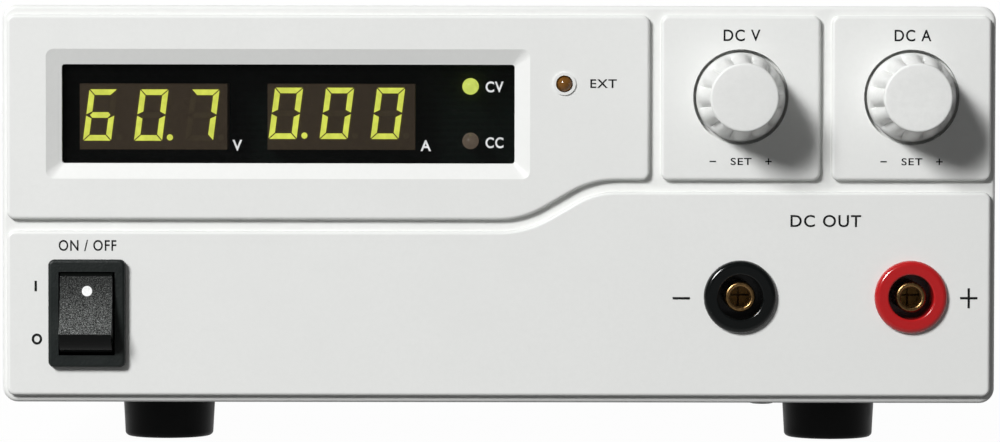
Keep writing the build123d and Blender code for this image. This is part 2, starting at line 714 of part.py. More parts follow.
def make_encoder(x):
    """The encoder's square body and bush, hollow for the collar and the plunger."""
    shape = Pos(x, Z_KNOB) * Rectangle(ENCODER_WIDTH, ENCODER_WIDTH)
    body = slab(shape, Y_ENCODER, Y_BOARD)
    body += rod_y(x, Z_KNOB, ENCODER_BUSH, Y_FRONT + WELL_DEPTH - FREE, Y_ENCODER)
    body -= rod_y(x, Z_KNOB, COLLAR_RADIUS + FREE, Y_CAVITY[0], Y_CAVITY[1])
    return body - rod_y(x, Z_KNOB, SHAFT_RADIUS + SHAFT_PLAY, Y_FRONT, Y_CAVITY[0])


# Power switch
def make_switch_body():
    """The snap-in housing: rimmed mouth, well for the rocker, holes for its pins."""
    at = Pos(X_SWITCH, Z_SWITCH)
    rim = slab(at * RectangleRounded(SWITCH_WIDTH, SWITCH_LENGTH, SWITCH_CORNER), Y_SWITCH, Y_FRONT)
    rim = fillet(rim.edges().group_by(Axis.Y)[0], SWITCH_CORNER / 2)
    y_back = Y_FRONT + SWITCH_BODY_DEPTH
    body = rim + slab(at * Rectangle(SWITCH_BODY_WIDTH, SWITCH_BODY_LENGTH), Y_FRONT, y_back)
    mouth = Rectangle(SWITCH_MOUTH_WIDTH, SWITCH_MOUTH_LENGTH)
    body -= slab(at * mouth, Y_SWITCH, Y_SWITCH + SWITCH_LIP)
    well = Rectangle(SWITCH_MOUTH_WIDTH, SWITCH_WELL_LENGTH)
    body -= slab(at * well, Y_SWITCH + SWITCH_LIP, Y_SWITCH + SWITCH_WELL_DEPTH)
    half = SWITCH_BODY_WIDTH / 2
    return body - rod_x(
        Y_ROCKER, Z_SWITCH, ROCKER_PIN + SHAFT_PLAY, X_SWITCH - half, X_SWITCH + half
    )


def make_rocker():
    """The rocker, a drum about its pivot with a dished face, tipped with its top pressed in."""
    edge = radians(ROCKER_EDGE_ANGLE)
    end = radians(ROCKER_END_ANGLE)
    front = [(ROCKER_RADIUS * sin(s * edge), ROCKER_RADIUS * cos(edge)) for s in (-1, 1)]
    side = [(ROCKER_RADIUS * sin(s * end), ROCKER_RADIUS * cos(end)) for s in (-1, 1)]
    between = radians((ROCKER_EDGE_ANGLE + ROCKER_END_ANGLE) / 2)
    mid = [(ROCKER_RADIUS * sin(s * between), ROCKER_RADIUS * cos(between)) for s in (-1, 1)]
    dish = (0, ROCKER_RADIUS * cos(edge) - ROCKER_DISH)
    foot = [(s * ROCKER_FOOT_LENGTH / 2, -ROCKER_FOOT_DEPTH) for s in (-1, 1)]
    outline = [
        ThreePointArc(front[0], dish, front[1]),
        ThreePointArc(front[1], mid[1], side[1]),
        Line(side[1], foot[1]),
        Line(foot[1], foot[0]),
        Line(foot[0], side[0]),
        ThreePointArc(side[0], mid[0], front[0]),
    ]
    section = Plane(origin=(-ROCKER_WIDTH / 2, 0, 0), x_dir=(0, 0, 1), z_dir=(1, 0, 0))
    drum = extrude(section * make_face(Curve() + outline), amount=ROCKER_WIDTH)
    half = SWITCH_BODY_WIDTH / 2 - SLIP
    pins = rod_x(0, 0, ROCKER_PIN, -half, half)
    return Pos(X_SWITCH, Y_ROCKER, Z_SWITCH) * Rot(-ROCKER_TILT, 0, 0) * (drum + pins)


def make_spades():
    """Four blade terminals at the back of the switch."""
    y_back = Y_FRONT + SWITCH_BODY_DEPTH
    pieces = []
    for dx in (-SPADE_SPACING / 2, SPADE_SPACING / 2):
        for dz in (-SPADE_SPACING / 2, SPADE_SPACING / 2):
            shape = Pos(X_SWITCH + dx, Z_SWITCH + dz) * Rectangle(SPADE_THICKNESS, SPADE_WIDTH)
            pieces.append(slab(shape, y_back, y_back + SPADE_LENGTH))
    return group(pieces)


# Safety sockets
def make_socket(x):
    """The shrouded insulator: flange, threaded body and deep ring-shaped recess."""
    body = rod_y(x, Z_SOCKET, SOCKET_FLANGE_RADIUS, Y_SOCKET, Y_FRONT)
    body = fillet(body.edges().group_by(Axis.Y)[0], SOCKET_ROUNDING)
    y_back = Y_FRONT + SOCKET_BODY_LENGTH
    body += rod_y(x, Z_SOCKET, SOCKET_BODY_RADIUS, Y_FRONT, y_back)
    body -= rod_y(
        x, Z_SOCKET, SOCKET_RECESS_RADIUS, Y_SOCKET, Y_SOCKET + SOCKET_RECESS_DEPTH
    )
    mouth = body.edges().filter_by(GeomType.CIRCLE).group_by(Axis.Y)[0].sort_by(SortBy.RADIUS)[0]
    body = fillet(mouth, SOCKET_MOUTH_EDGE)
    return body - rod_y(x, Z_SOCKET, CONTACT_RADIUS + SEAT, Y_SOCKET, y_back)


def make_contact(x):
    """The brass tube of a socket, bored for the plug, with a solder tail."""
    front = Y_SOCKET + CONTACT_SUNK
    back = front + CONTACT_LENGTH
    tube = rod_y(x, Z_SOCKET, CONTACT_RADIUS, front, back)
    tube = chamfer(tube.edges().group_by(Axis.Y)[0], CONTACT_TAIL / 3)
    tube += rod_y(x, Z_SOCKET, CONTACT_TAIL, back, back + CONTACT_TAIL_LENGTH)
    return tube - rod_y(x, Z_SOCKET, CONTACT_BORE, front, front + CONTACT_BORE_DEPTH)


def make_nut(x):
    """The hexagon nut that holds a socket from behind."""
    shape = Pos(x, Z_SOCKET) * RegularPolygon(NUT_ACROSS / 2, 6, major_radius=False)
    nut = slab(shape, Y_WALL, Y_WALL + NUT_THICKNESS)
    return nut - rod_y(x, Z_SOCKET, SOCKET_BODY_RADIUS + SEAT, Y_WALL, Y_WALL + NUT_THICKNESS)


# Sheet-metal case
def fold_shape(inset, radius):
    """A section of the case with rounded top corners, straight below."""
    width = 2 * (X_SHEET - inset)
    height = Z_SHEET_TOP - inset - Z_FLOOR_UNDER
    shape = Pos(0, Z_FLOOR_UNDER + height / 2) * Rectangle(width, height)
    return fillet(shape.vertices().group_by(Axis.Y)[-1], radius)


def make_cover():
    """The folded top and sides with upright slots in both sides."""
    shape = fold_shape(0, FOLD_RADIUS) - fold_shape(SHEET, FOLD_RADIUS - SHEET)
    cover = slab(shape, Y_BEZEL_BACK, Y_REAR)
    first = (Y_BEZEL_BACK + Y_REAR - (SLOT_COUNT - 1) * SLOT_PITCH) / 2
    slot = Rot(0, 90, 0) * SlotOverall(SLOT_LENGTH, SLOT_WIDTH)
    for index in range(SLOT_COUNT):
        place = Pos(-X_SIDE, first + index * SLOT_PITCH, SLOT_MIDDLE_HEIGHT)
        cover -= extrude(place * slot, amount=CASE_WIDTH, dir=(1, 0, 0))
    for side, y, z in cover_screw_places():
        cover -= sunk_head(side, y, z, SEAT)
    return cover


def sunk_head(side, y, z, gap):
    """The cone of a countersunk head that lies flush in the side of the cover."""
    cone = Cone(SCREW_SHANK + gap, SCREW_HEAD + gap, SHEET)
    return Pos(side * (X_SHEET - SHEET / 2), y, z) * Rot(0, side * 90, 0) * cone


def cover_screw_places():
    """Two screws on each side, into the upturned edges of the floor."""
    z = Z_FLOOR + FLANGE / 2
    front = Y_BEZEL_BACK + TONGUE_LENGTH + FLANGE
    back = Y_PANEL - 2 * FLANGE
    return [(side, y, z) for side in (-1, 1) for y in (front, back)]


def make_cover_screws():
    """The flush screws in both sides of the cover."""
    pieces = []
    for side, y, z in cover_screw_places():
        ends = sorted((side * (X_SHEET - SHEET), side * (X_SHEET - SCREW_LENGTH)))
        pieces.append(sunk_head(side, y, z, 0) + rod_x(y, z, SCREW_SHANK, *ends))
    return group(pieces)


def panel_screw_places():
    """Screws from below that hold the floor to the rear panel's lower edge."""
    return [(side * FOOT_FROM_MIDDLE, Y_PANEL - FLANGE / 2) for side in (-1, 1)]


def make_chassis():
    """The floor with upturned sides, pressed spacer seats and foot nuts."""
    floor = block((-X_INNER, X_INNER), (Y_BEZEL_BACK, Y_PANEL), (Z_FLOOR_UNDER, Z_FLOOR))
    side_front = Y_BEZEL_BACK + TONGUE_LENGTH + SLIP
    side_back = Y_PANEL - FLANGE - SLIP
    for x_pair in ((-X_INNER, -X_INNER + SHEET), (X_INNER - SHEET, X_INNER)):
        floor += block(x_pair, (side_front, side_back), (Z_FLOOR_UNDER, Z_FLOOR + FLANGE))
    for x, y in FEET:
        floor += rod_z(x, y, FOOT_NUT_RADIUS, Z_FLOOR, Z_FLOOR + FOOT_NUT_HEIGHT)
        floor -= rod_z(x, y, FOOT_SHANK + SEAT, Z_FLOOR_UNDER, Z_FLOOR + FOOT_NUT_HEIGHT)
    hole = SCREW_SHANK + SEAT
    screws = panel_screw_places() + [(BEZEL_SCREW_X, Y_FRONT + BEZEL_SCREW_FROM_FRONT)]
    for x, y in screws:
        floor -= rod_z(x, y, hole, Z_FLOOR_UNDER, Z_FLOOR)
    for side, y, z in cover_screw_places():
        floor -= rod_x(y, z, hole, *sorted((0, side * X_SIDE)))
    return floor


def make_feet():
    """Four round rubber feet, a little wider at the top, sunk for their screws."""
    pieces = []
    for x, y in FEET:
        cone = Pos(x, y, Z_FLOOR_UNDER / 2) * Cone(FOOT_BASE_RADIUS, FOOT_TOP_RADIUS, Z_FLOOR_UNDER)
        cone = fillet(cone.edges().group_by(Axis.Z)[0], FOOT_EDGE)
        cone -= rod_z(x, y, FOOT_SINK_RADIUS, 0, FOOT_SINK_DEPTH)
        pieces.append(cone - rod_z(x, y, FOOT_SHANK + SEAT, 0, Z_FLOOR_UNDER))
    return group(pieces)


def make_underside_screws():
    """Foot screws, and the screws that hold the bezel and the rear panel to the floor."""
    length = Z_FLOOR - FOOT_SINK_DEPTH + FOOT_NUT_HEIGHT
    pieces = [
        pan_screw_up(
            x, y, FOOT_SINK_DEPTH, FOOT_SHANK, FOOT_SCREW_HEAD, FOOT_SCREW_HEAD_HEIGHT, length
        )
        for x, y in FEET
    ]
    bezel_screw = (BEZEL_SCREW_X, Y_FRONT + BEZEL_SCREW_FROM_FRONT, BEZEL_BOSS_HEIGHT)
    panel_screws = [(x, y, 2 * SHEET) for x, y in panel_screw_places()]
    for x, y, reach in [bezel_screw] + panel_screws:
        pieces.append(pan_screw_up(
            x, y, Z_FLOOR_UNDER, SCREW_SHANK, SCREW_HEAD, SCREW_HEAD_HEIGHT, reach
        ))
    return group(pieces)


def make_rear_panel():
    """The rear sheet with bent edges and every opening it carries."""
    low = Z_FLOOR
    shape = Pos(0, (low + Z_INNER_TOP) / 2) * Rectangle(2 * X_INNER, Z_INNER_TOP - low)
    panel = slab(fillet(shape.vertices().group_by(Axis.Y)[-1], FOLD_RADIUS), Y_PANEL, Y_REAR)
    x_lip = (FOLD_RADIUS - X_INNER, X_INNER - FOLD_RADIUS)
    y_lip = (Y_PANEL - FLANGE, Y_PANEL)
    panel += block(x_lip, y_lip, (low, low + SHEET))
    panel += block(x_lip, y_lip, (Z_INNER_TOP - SHEET, Z_INNER_TOP))
    through = (Y_PANEL - SEAT, Y_REAR + SEAT)
    panel -= rod_y(X_FAN, Z_FAN, FAN_BORE, *through)
    for x, z in fan_holes():
        panel -= rod_y(x, z, FAN_HOLE, *through)
    inlet = Pos(X_INLET, Z_INLET) * Rectangle(INLET_WIDTH + 2 * SLIP, INLET_HEIGHT + 2 * SLIP)
    panel -= slab(inlet, *through)
    for x in X_POSTS:
        panel -= rod_y(x, Z_POST, POST_BUSH_RADIUS + SLIP, *through)
    usb = Pos(X_USB, Z_REMOTE) * Rectangle(USB_WIDTH + 2 * SLIP, USB_HEIGHT + 2 * SLIP)
    panel -= slab(usb, *through)
    panel -= rod_y(X_ROUND_PORT, Z_REMOTE, ROUND_PORT_RADIUS + SLIP, *through)
    width = slide_block_width() + 2 * SLIP
    slides = Rectangle(width, SLIDE_BLOCK_HEIGHT + 2 * SLIP)
    panel -= slab(Pos(X_SLIDES, Z_REMOTE) * slides, *through)
    for x, y in panel_screw_places():
        panel -= rod_z(x, y, SCREW_SHANK + SEAT, low, low + SHEET)
    return panel


# Main board and what stands on it
def make_main_board():
    """The main board, drilled for its screws."""
    board = block(
        (-X_MAIN_BOARD, X_MAIN_BOARD), (Y_MAIN_BOARD, Y_MAIN_BACK), (Z_MAIN_BOARD, Z_MAIN_TOP)
    )
    for x, y in spacer_places():
        board -= rod_z(x, y, SCREW_SHANK, Z_MAIN_BOARD, Z_MAIN_TOP)
    return board


def make_spacers():
    """Six threaded spacers between the floor and the main board."""
    pieces = []
    for x, y in spacer_places():
        hexagon = Pos(x, y, Z_FLOOR) * RegularPolygon(SPACER_RADIUS, 6, major_radius=False)
        pieces.append(
            extrude(hexagon, amount=SPACER_HEIGHT)
            - rod_z(x, y, SCREW_SHANK, Z_FLOOR, Z_MAIN_BOARD)
        )
    return group(pieces)


def heatsink_x(side):
    """The middle of a heat sink, on the left or the right of the board."""
    return side * (X_MAIN_BOARD - HEATSINK_FROM_EDGE - HEATSINK_WIDTH / 2)


def make_heatsink(side):
    """A finned extrusion: an upright base with fins that point to the case side."""
    x = heatsink_x(side)
    inner = x - side * HEATSINK_WIDTH / 2
    outer = x + side * HEATSINK_WIDTH / 2
    base_end = inner + side * HEATSINK_BASE
    top = Z_MAIN_TOP + HEATSINK_HEIGHT
    sink = block(sorted((inner, base_end)), Y_SINK, (Z_MAIN_TOP, top))
    pitch = (HEATSINK_HEIGHT - HEATSINK_FIN) / (HEATSINK_FINS - 1)
    for index in range(HEATSINK_FINS):
        z = Z_MAIN_TOP + index * pitch
        sink += block(sorted((inner, outer)), Y_SINK, (z, z + HEATSINK_FIN))
    return sink


def make_transistors():
    """Flat packages pressed on the inner face of both heat sinks."""
    pieces = []
    pitch = (Y_SINK[1] - Y_SINK[0]) / TRANSISTOR_COUNT
    for side in (-1, 1):
        face = heatsink_x(side) - side * HEATSINK_WIDTH / 2
        far = face - side * TRANSISTOR_THICKNESS
        for index in range(TRANSISTOR_COUNT):
            y = Y_SINK[0] + (index + 0.5) * pitch
            z = Z_MAIN_TOP + TRANSISTOR_RISE
            case = block(
                sorted((far, face)),
                (y - TRANSISTOR_WIDTH / 2, y + TRANSISTOR_WIDTH / 2),
                (z, z + TRANSISTOR_HEIGHT),
            )
            for step in (-1, 0, 1):
                leg = y + step * TRANSISTOR_WIDTH / 3
                case += block(
                    sorted((far, (far + face) / 2)),
                    (leg - SPADE_THICKNESS / 2, leg + SPADE_THICKNESS / 2),
                    (Z_MAIN_TOP, z),
                )
            pieces.append(case)
    return group(pieces)


X_CORE = CORE_FROM_MIDDLE
Y_CORE = (Y_MAIN_BOARD + Y_MAIN_BACK) / 2
CORE_LIMB = (CORE_WIDTH / 2 - WINDING_BUILD - WINDING_GAP) / 2
WINDING_RADIUS = CORE_LIMB + WINDING_BUILD
X_CHOKES = [
    -X_MAIN_BOARD + HEATSINK_FROM_EDGE + CHOKE_RADIUS,
    -X_MAIN_BOARD + HEATSINK_FROM_EDGE + 3 * CHOKE_RADIUS + CHOKE_GAP,
]


def make_core():
    """The ferrite core: a closed frame with a round middle limb."""
    x_pair = (X_CORE - CORE_WIDTH / 2, X_CORE + CORE_WIDTH / 2)
    y_pair = (Y_CORE - CORE_DEPTH / 2, Y_CORE + CORE_DEPTH / 2)
    core = block(x_pair, y_pair, (Z_MAIN_TOP, Z_MAIN_TOP + CORE_HEIGHT))
    core -= block(
        (x_pair[0] + CORE_LIMB, x_pair[1] - CORE_LIMB),
        y_pair,
        (Z_MAIN_TOP + CORE_LIMB, Z_MAIN_TOP + CORE_HEIGHT - CORE_LIMB),
    )
    return core + rod_z(X_CORE, Y_CORE, CORE_LIMB, Z_MAIN_TOP, Z_MAIN_TOP + CORE_HEIGHT)


def make_winding():
    """The coil round the middle limb."""
    z_pair = (Z_MAIN_TOP + CORE_LIMB + SLIP, Z_MAIN_TOP + CORE_HEIGHT - CORE_LIMB - SLIP)
    coil = rod_z(X_CORE, Y_CORE, WINDING_RADIUS, *z_pair)
    return coil - rod_z(X_CORE, Y_CORE, CORE_LIMB + SLIP, *z_pair)


def can(x, y, radius, height):
    """A capacitor: a can with a rounded top and a groove near its foot."""
    body = rod_z(x, y, radius, Z_MAIN_TOP, Z_MAIN_TOP + height)
    body = fillet(body.edges().group_by(Axis.Z)[-1], CAN_GROOVE)
    z = Z_MAIN_TOP + 4 * CAN_GROOVE
    ring = rod_z(x, y, radius, z, z + CAN_GROOVE)
    return body - (ring - rod_z(x, y, radius - CAN_GROOVE, z, z + CAN_GROOVE))


def make_capacitors():
    """Two bulk capacitors on the mains side and three on the output side."""
    bulk_y = Y_MAIN_BOARD + BULK_CAN_RADIUS + SPACER_INSET
    bulk_x = X_CHOKES[1] + CHOKE_RADIUS + BULK_CAN_GAP + BULK_CAN_RADIUS
    bulk = [
        can(bulk_x + step * (BULK_CAN_RADIUS + SLIP) * 2, bulk_y, BULK_CAN_RADIUS, BULK_CAN_HEIGHT)
        for step in (0, 1)
    ]
    row_y = Y_MAIN_BACK - OUTPUT_CAN_RADIUS - SPACER_INSET
    row = [
        can(X_CORE + step * (OUTPUT_CAN_RADIUS + SLIP) * 2, row_y, OUTPUT_CAN_RADIUS,
            OUTPUT_CAN_HEIGHT)
        for step in (-1, 0, 1)
    ]
    return group(bulk + row)


def make_chokes():
    """Two wound rings that lie on the board: mains filter and output filter."""
    pieces = []
    for x in X_CHOKES:
        ring = rod_z(x, Y_CHOKE, CHOKE_RADIUS, Z_MAIN_TOP, Z_MAIN_TOP + CHOKE_THICKNESS)
        ring = fillet(ring.edges().group_by(Axis.Z)[-1], CHOKE_THICKNESS / 4)
        pieces.append(
            ring - rod_z(x, Y_CHOKE, CHOKE_HOLE, Z_MAIN_TOP, Z_MAIN_TOP + CHOKE_THICKNESS)
        )
    return group(pieces)


# Fan
Y_FAN = [Y_PANEL - FAN_THICKNESS, Y_PANEL]


def fan_holes():
    """The corner holes that the panel, the fan and the guard share."""
    reach = FAN_HOLE_SPACING / 2
    return [(X_FAN + sx * reach, Z_FAN + sz * reach) for sx in (-1, 1) for sz in (-1, 1)]


def make_fan_frame():
    """The square frame, its round duct, and the motor seat on crossed struts."""
    square = Pos(X_FAN, Z_FAN) * RectangleRounded(FAN_SIZE, FAN_SIZE, FAN_CORNER)
    frame = slab(square, *Y_FAN) - rod_y(X_FAN, Z_FAN, FAN_BORE, *Y_FAN)
    seat = (Y_FAN[0], Y_FAN[0] + FAN_STRUT_DEPTH)
    struts = Box(2 * FAN_BORE + FAN_STRUT, FAN_STRUT_DEPTH, FAN_STRUT)
    frame += rod_y(X_FAN, Z_FAN, FAN_HUB, *seat)
    for index in range(FAN_STRUTS // 2):
        place = Pos(X_FAN, sum(seat) / 2, Z_FAN) * Rot(0, 45 + index * 360 / FAN_STRUTS, 0)
        frame += place * struts
    frame -= rod_y(X_FAN, Z_FAN, FAN_AXLE + SHAFT_PLAY, *seat)
    for x, z in fan_holes():
        frame -= rod_y(x, z, FAN_HOLE, *Y_FAN)
    return frame


def make_fan_rotor():
    """The hub cup with its axle and the ring of pitched blades."""
    low = Y_FAN[0] + FAN_STRUT_DEPTH + 2 * FREE
    high = Y_FAN[1] - FREE
    hub = rod_y(0, 0, FAN_HUB, low, high)
    rotor = fillet(hub.edges().sort_by(Axis.Y)[-1], CAP_EDGE)
    reach = FAN_BLADE_TIP - FAN_HUB / 2
    blade = Box(reach, FAN_BLADE_LENGTH, FAN_BLADE_THICKNESS)
    for index in range(FAN_BLADES):
        tilt = Rot(0, index * 360 / FAN_BLADES, 0) * Pos(FAN_HUB / 2 + reach / 2, 0, 0)
        rotor += Pos(0, (low + high) / 2, 0) * tilt * Rot(FAN_BLADE_PITCH, 0, 0) * blade
    rotor &= rod_y(0, 0, FAN_BLADE_TIP, low, high)
    rotor += rod_y(0, 0, FAN_AXLE, Y_FAN[0] + FREE, low)
    return Pos(X_FAN, 0, Z_FAN) * rotor


def make_fan_guard():
    """Round wire rings on four flat arms that end in eyes at the corner screws."""
    y_ring = Y_REAR + GUARD_ARM + WIRE_RADIUS / 2
    corner = FAN_HOLE_SPACING / 2 * 2 ** 0.5
    eye = FAN_HOLE + 2 * WIRE_RADIUS
    guard = []
    for index in range(GUARD_RINGS):
        reach = GUARD_FIRST + index * GUARD_PITCH
        guard.append(Pos(0, y_ring, 0) * Rot(90, 0, 0) * Torus(reach, WIRE_RADIUS))
    arm = block((GUARD_FIRST, corner), (Y_REAR, Y_REAR + GUARD_ARM), (-WIRE_RADIUS, WIRE_RADIUS))
    arm += rod_y(corner, 0, eye, Y_REAR, Y_REAR + GUARD_ARM)
    arm -= rod_y(corner, 0, FAN_HOLE, Y_REAR, Y_REAR + GUARD_ARM)
    for quarter in range(4):
        guard.append(Rot(0, 45 + 90 * quarter, 0) * arm)
    return Pos(X_FAN, 0, Z_FAN) * (guard[0] + guard[1:])


def make_fan_screws():
    """Four screws through the guard's eyes, the panel and the fan."""
    seat = Y_REAR + GUARD_ARM
    length = seat - Y_FAN[0]
    return group([pan_screw_in(x, z, seat, length, 1) for x, z in fan_holes()])


# Mains inlet
def drawer_shape(gap):
    """The section of the fuse drawer, with the given gap left round it."""
    shape = Rectangle(DRAWER_WIDTH - 2 * gap, DRAWER_HEIGHT - 2 * gap)
    return Pos(X_INLET, Z_INLET + DRAWER_RAISE) * shape


def plug_shape():
    """The six-sided mouth of the inlet."""
    half = PLUG_WIDTH / 2
    top = PLUG_HEIGHT / 2
    points = [
        (-half, -top), (half, -top), (half, top - PLUG_CHAMFER), (half - PLUG_CHAMFER, top),
        (-half + PLUG_CHAMFER, top), (-half, top - PLUG_CHAMFER),
    ]
    return Pos(X_INLET, Z_INLET + PLUG_RAISE) * make_face(Polyline(*points, close=True).edges())


def make_inlet():
    """The inlet housing: flange, plug cavity and the bay of the fuse drawer."""
    at = Pos(X_INLET, Z_INLET)
    rim = at * RectangleRounded(INLET_WIDTH + 2 * INLET_RIM, INLET_HEIGHT + 2 * INLET_RIM,
                                INLET_CORNER)
    y_face = Y_REAR + INLET_PROUD
    flange = slab(rim, Y_REAR, y_face)
    flange = fillet(flange.edges().group_by(Axis.Y)[-1], INLET_PROUD / 4)
    y_back = y_face - INLET_DEPTH
    body = flange + slab(at * Rectangle(INLET_WIDTH, INLET_HEIGHT), y_back, Y_REAR)
    body -= slab(plug_shape(), y_face - PLUG_DEPTH, y_face)
    body -= slab(drawer_shape(0), y_face - DRAWER_DEPTH, y_face)
    for x, z in pin_places():
        shape = Pos(x, z) * Rectangle(PIN_WIDTH + 2 * SEAT, PIN_HEIGHT + 2 * SEAT)
        body -= slab(shape, y_back, y_face - PLUG_DEPTH)
    return body


def pin_places():
    """Live, neutral and the raised earth pin between them."""
    z = Z_INLET + PLUG_RAISE - EARTH_RAISE / 2
    half = PIN_SPACING / 2
    return [(X_INLET - half, z), (X_INLET + half, z), (X_INLET, z + EARTH_RAISE)]


def make_pins():
    """The three blades, from inside the cavity to their tails inside the case."""
    y_face = Y_REAR + INLET_PROUD
    pieces = []
    for x, z in pin_places():
        shape = Pos(x, z) * Rectangle(PIN_WIDTH, PIN_HEIGHT)
        pieces.append(slab(shape, y_face - INLET_DEPTH - PIN_TAIL, y_face - PIN_SUNK))
    return group(pieces)


def make_drawer():
    """The fuse tray: a front plate with a finger lip, and an open trough."""
    y_face = Y_REAR + INLET_PROUD
    y_back = y_face - DRAWER_DEPTH + FREE
    tray = slab(drawer_shape(DRAWER_GAP), y_back, y_face)
    z = Z_INLET + DRAWER_RAISE
    tray += block(
        (X_INLET - DRAWER_WIDTH / 4, X_INLET + DRAWER_WIDTH / 4),
        (y_face, y_face + DRAWER_LIP),
        (z + DRAWER_HEIGHT / 2 - DRAWER_GAP - DRAWER_LIP, z + DRAWER_HEIGHT / 2 - DRAWER_GAP),
    )
    half = FUSE_LENGTH / 2 + SLIP
    trough = block(
        (X_INLET - half, X_INLET + half),
        (y_back + DRAWER_PLATE, y_face - DRAWER_PLATE - DRAWER_LIP),
        (z - DRAWER_HEIGHT / 2 + DRAWER_PLATE, z + DRAWER_HEIGHT),
    )
    return tray - trough


def make_fuse():
    """The glass fuse that lies across the tray."""
    y_face = Y_REAR + INLET_PROUD
    y = (y_face - DRAWER_DEPTH + FREE + y_face - DRAWER_LIP) / 2
    z = Z_INLET + DRAWER_RAISE - DRAWER_HEIGHT / 2 + DRAWER_PLATE + FUSE_RADIUS
    half = FUSE_LENGTH / 2
    glass = rod_x(y, z, FUSE_RADIUS - SLIP, X_INLET - half, X_INLET + half)
    for side in (-1, 1):
        ends = sorted((X_INLET + side * half, X_INLET + side * (half - FUSE_CAP_LENGTH)))
        glass += rod_x(y, z, FUSE_RADIUS, *ends)
    return glass


# Main output posts
Y_POST_BASE = Y_REAR + POST_BASE
Y_WASHER = Y_POST_BASE + FREE
Y_CAP = Y_WASHER + WASHER_THICKNESS + WASHER_GAP
Y_POST_END = Y_REAR + POST_PROUD


def make_post_base(x):
    """The insulating base outside the panel with its bush through the hole."""
    base = rod_y(x, Z_POST, POST_BASE_RADIUS, Y_REAR, Y_POST_BASE)
    base = fillet(base.edges().group_by(Axis.Y)[-1], CAP_EDGE)
    base += rod_y(x, Z_POST, POST_BUSH_RADIUS, Y_REAR - POST_BUSH_LENGTH, Y_REAR)
    return base - rod_y(x, Z_POST, STUD_RADIUS + SEAT, Y_REAR - POST_BUSH_LENGTH, Y_POST_BASE)


def make_stud(x):
    """The threaded stud, bored for a plug, with its nut inside the case."""
    inner = Y_REAR - POST_BUSH_LENGTH
    stud = rod_y(x, Z_POST, STUD_RADIUS, Y_REAR - STUD_TAIL, Y_POST_END)
    stud -= rod_y(x, Z_POST, STUD_BORE, Y_POST_END - STUD_BORE_DEPTH, Y_POST_END)
    hexagon = Pos(x, Z_POST) * RegularPolygon(STUD_NUT_RADIUS, 6, major_radius=False)
    return stud + slab(hexagon, inner - STUD_NUT_THICKNESS, inner)


def make_washer(x):
    """The loose clamping washer that the cap pushes."""
    washer = rod_y(x, Z_POST, WASHER_RADIUS, Y_WASHER, Y_WASHER + WASHER_THICKNESS)
    bore = rod_y(x, Z_POST, STUD_RADIUS + SHAFT_PLAY, Y_WASHER, Y_WASHER + WASHER_THICKNESS)
    return washer - bore


def make_cap(x):
    """The fluted screw cap, open at its end so that a plug reaches the stud."""
    cap = rod_y(0, 0, CAP_RADIUS, Y_CAP, Y_POST_END)
    cap = fillet(cap.edges().sort_by(Axis.Y)[-1], CAP_EDGE)
    for turn in range(CAP_FLUTES):
        flute = rod_y(CAP_RADIUS + CAP_FLUTE_RADIUS / 2, 0, CAP_FLUTE_RADIUS, Y_CAP, Y_POST_END)
        cap -= Rot(0, turn * 360 / CAP_FLUTES, 0) * flute
    cap -= rod_y(0, 0, STUD_RADIUS + SHAFT_PLAY, Y_CAP, Y_POST_END)
    return Pos(x, 0, Z_POST) * cap


# Sockets and switches of the remote control
def make_usb():
    """The square data socket with a tongue in its mouth."""
    y_face = Y_REAR + PORT_PROUD
    at = Pos(X_USB, Z_REMOTE)
    shell = slab(at * Rectangle(USB_WIDTH, USB_HEIGHT), y_face - USB_DEPTH, y_face)
    mouth = at * Rectangle(USB_MOUTH_WIDTH, USB_MOUTH_HEIGHT)
    mouth = chamfer(mouth.vertices().group_by(Axis.Y)[-1], USB_MOUTH_CHAMFER)
    tongue = at * Rectangle(USB_TONGUE_WIDTH, USB_TONGUE_HEIGHT)
    shell -= slab(mouth, y_face - USB_MOUTH_DEPTH, y_face)
    return shell + slab(tongue, y_face - USB_MOUTH_DEPTH, y_face - PORT_PROUD)


def make_round_port():
    """The round multi-pin socket: flange, threaded shell and a ring of pins."""
    x = X_ROUND_PORT
    y_face = Y_REAR + ROUND_PORT_PROUD
    shell = rod_y(x, Z_REMOTE, ROUND_PORT_RADIUS, y_face - ROUND_PORT_DEPTH, y_face)
    flange_end = Y_REAR + ROUND_PORT_FLANGE_THICKNESS
    shell += rod_y(x, Z_REMOTE, ROUND_PORT_FLANGE, Y_REAR, flange_end)
    floor = y_face - ROUND_PORT_MOUTH
    shell -= rod_y(x, Z_REMOTE, ROUND_PORT_RADIUS - ROUND_PORT_WALL, floor, y_face)
    pin = rod_y(CONTACT_PIN_CIRCLE, 0, CONTACT_PIN, floor, floor + CONTACT_PIN_LENGTH)
    for turn in range(CONTACT_PINS):
        shell += Pos(x, 0, Z_REMOTE) * Rot(0, turn * 360 / CONTACT_PINS, 0) * pin
    return shell + rod_y(x, Z_REMOTE, CONTACT_PIN, floor, floor + CONTACT_PIN_LENGTH)


def slide_block_width():
    """The width that holds all the sliders and the two ends."""
    return SLIDERS * SLIDER_PITCH + 2 * SLIDE_BLOCK_END


def slider_x(index):
    """The middle of one slider."""
    return X_SLIDES + (index - (SLIDERS - 1) / 2) * SLIDER_PITCH


def make_slide_block():
    """The block of three small slide switches, with a slot for each slider."""
    at = Pos(X_SLIDES, Z_REMOTE)
    face = Y_REAR + PORT_PROUD
    body = slab(at * Rectangle(slide_block_width(), SLIDE_BLOCK_HEIGHT), face - SLIDE_BLOCK_DEPTH,
                face)
    length = SLIDER_LENGTH + SLIDER_TRAVEL + 2 * FREE
    for index in range(SLIDERS):
        slot = Pos(slider_x(index), Z_REMOTE) * Rectangle(SLIDER_WIDTH + 2 * SLIP, length)
        body -= slab(slot, face - SLIDER_ROOT - SLIP, face)
    return body


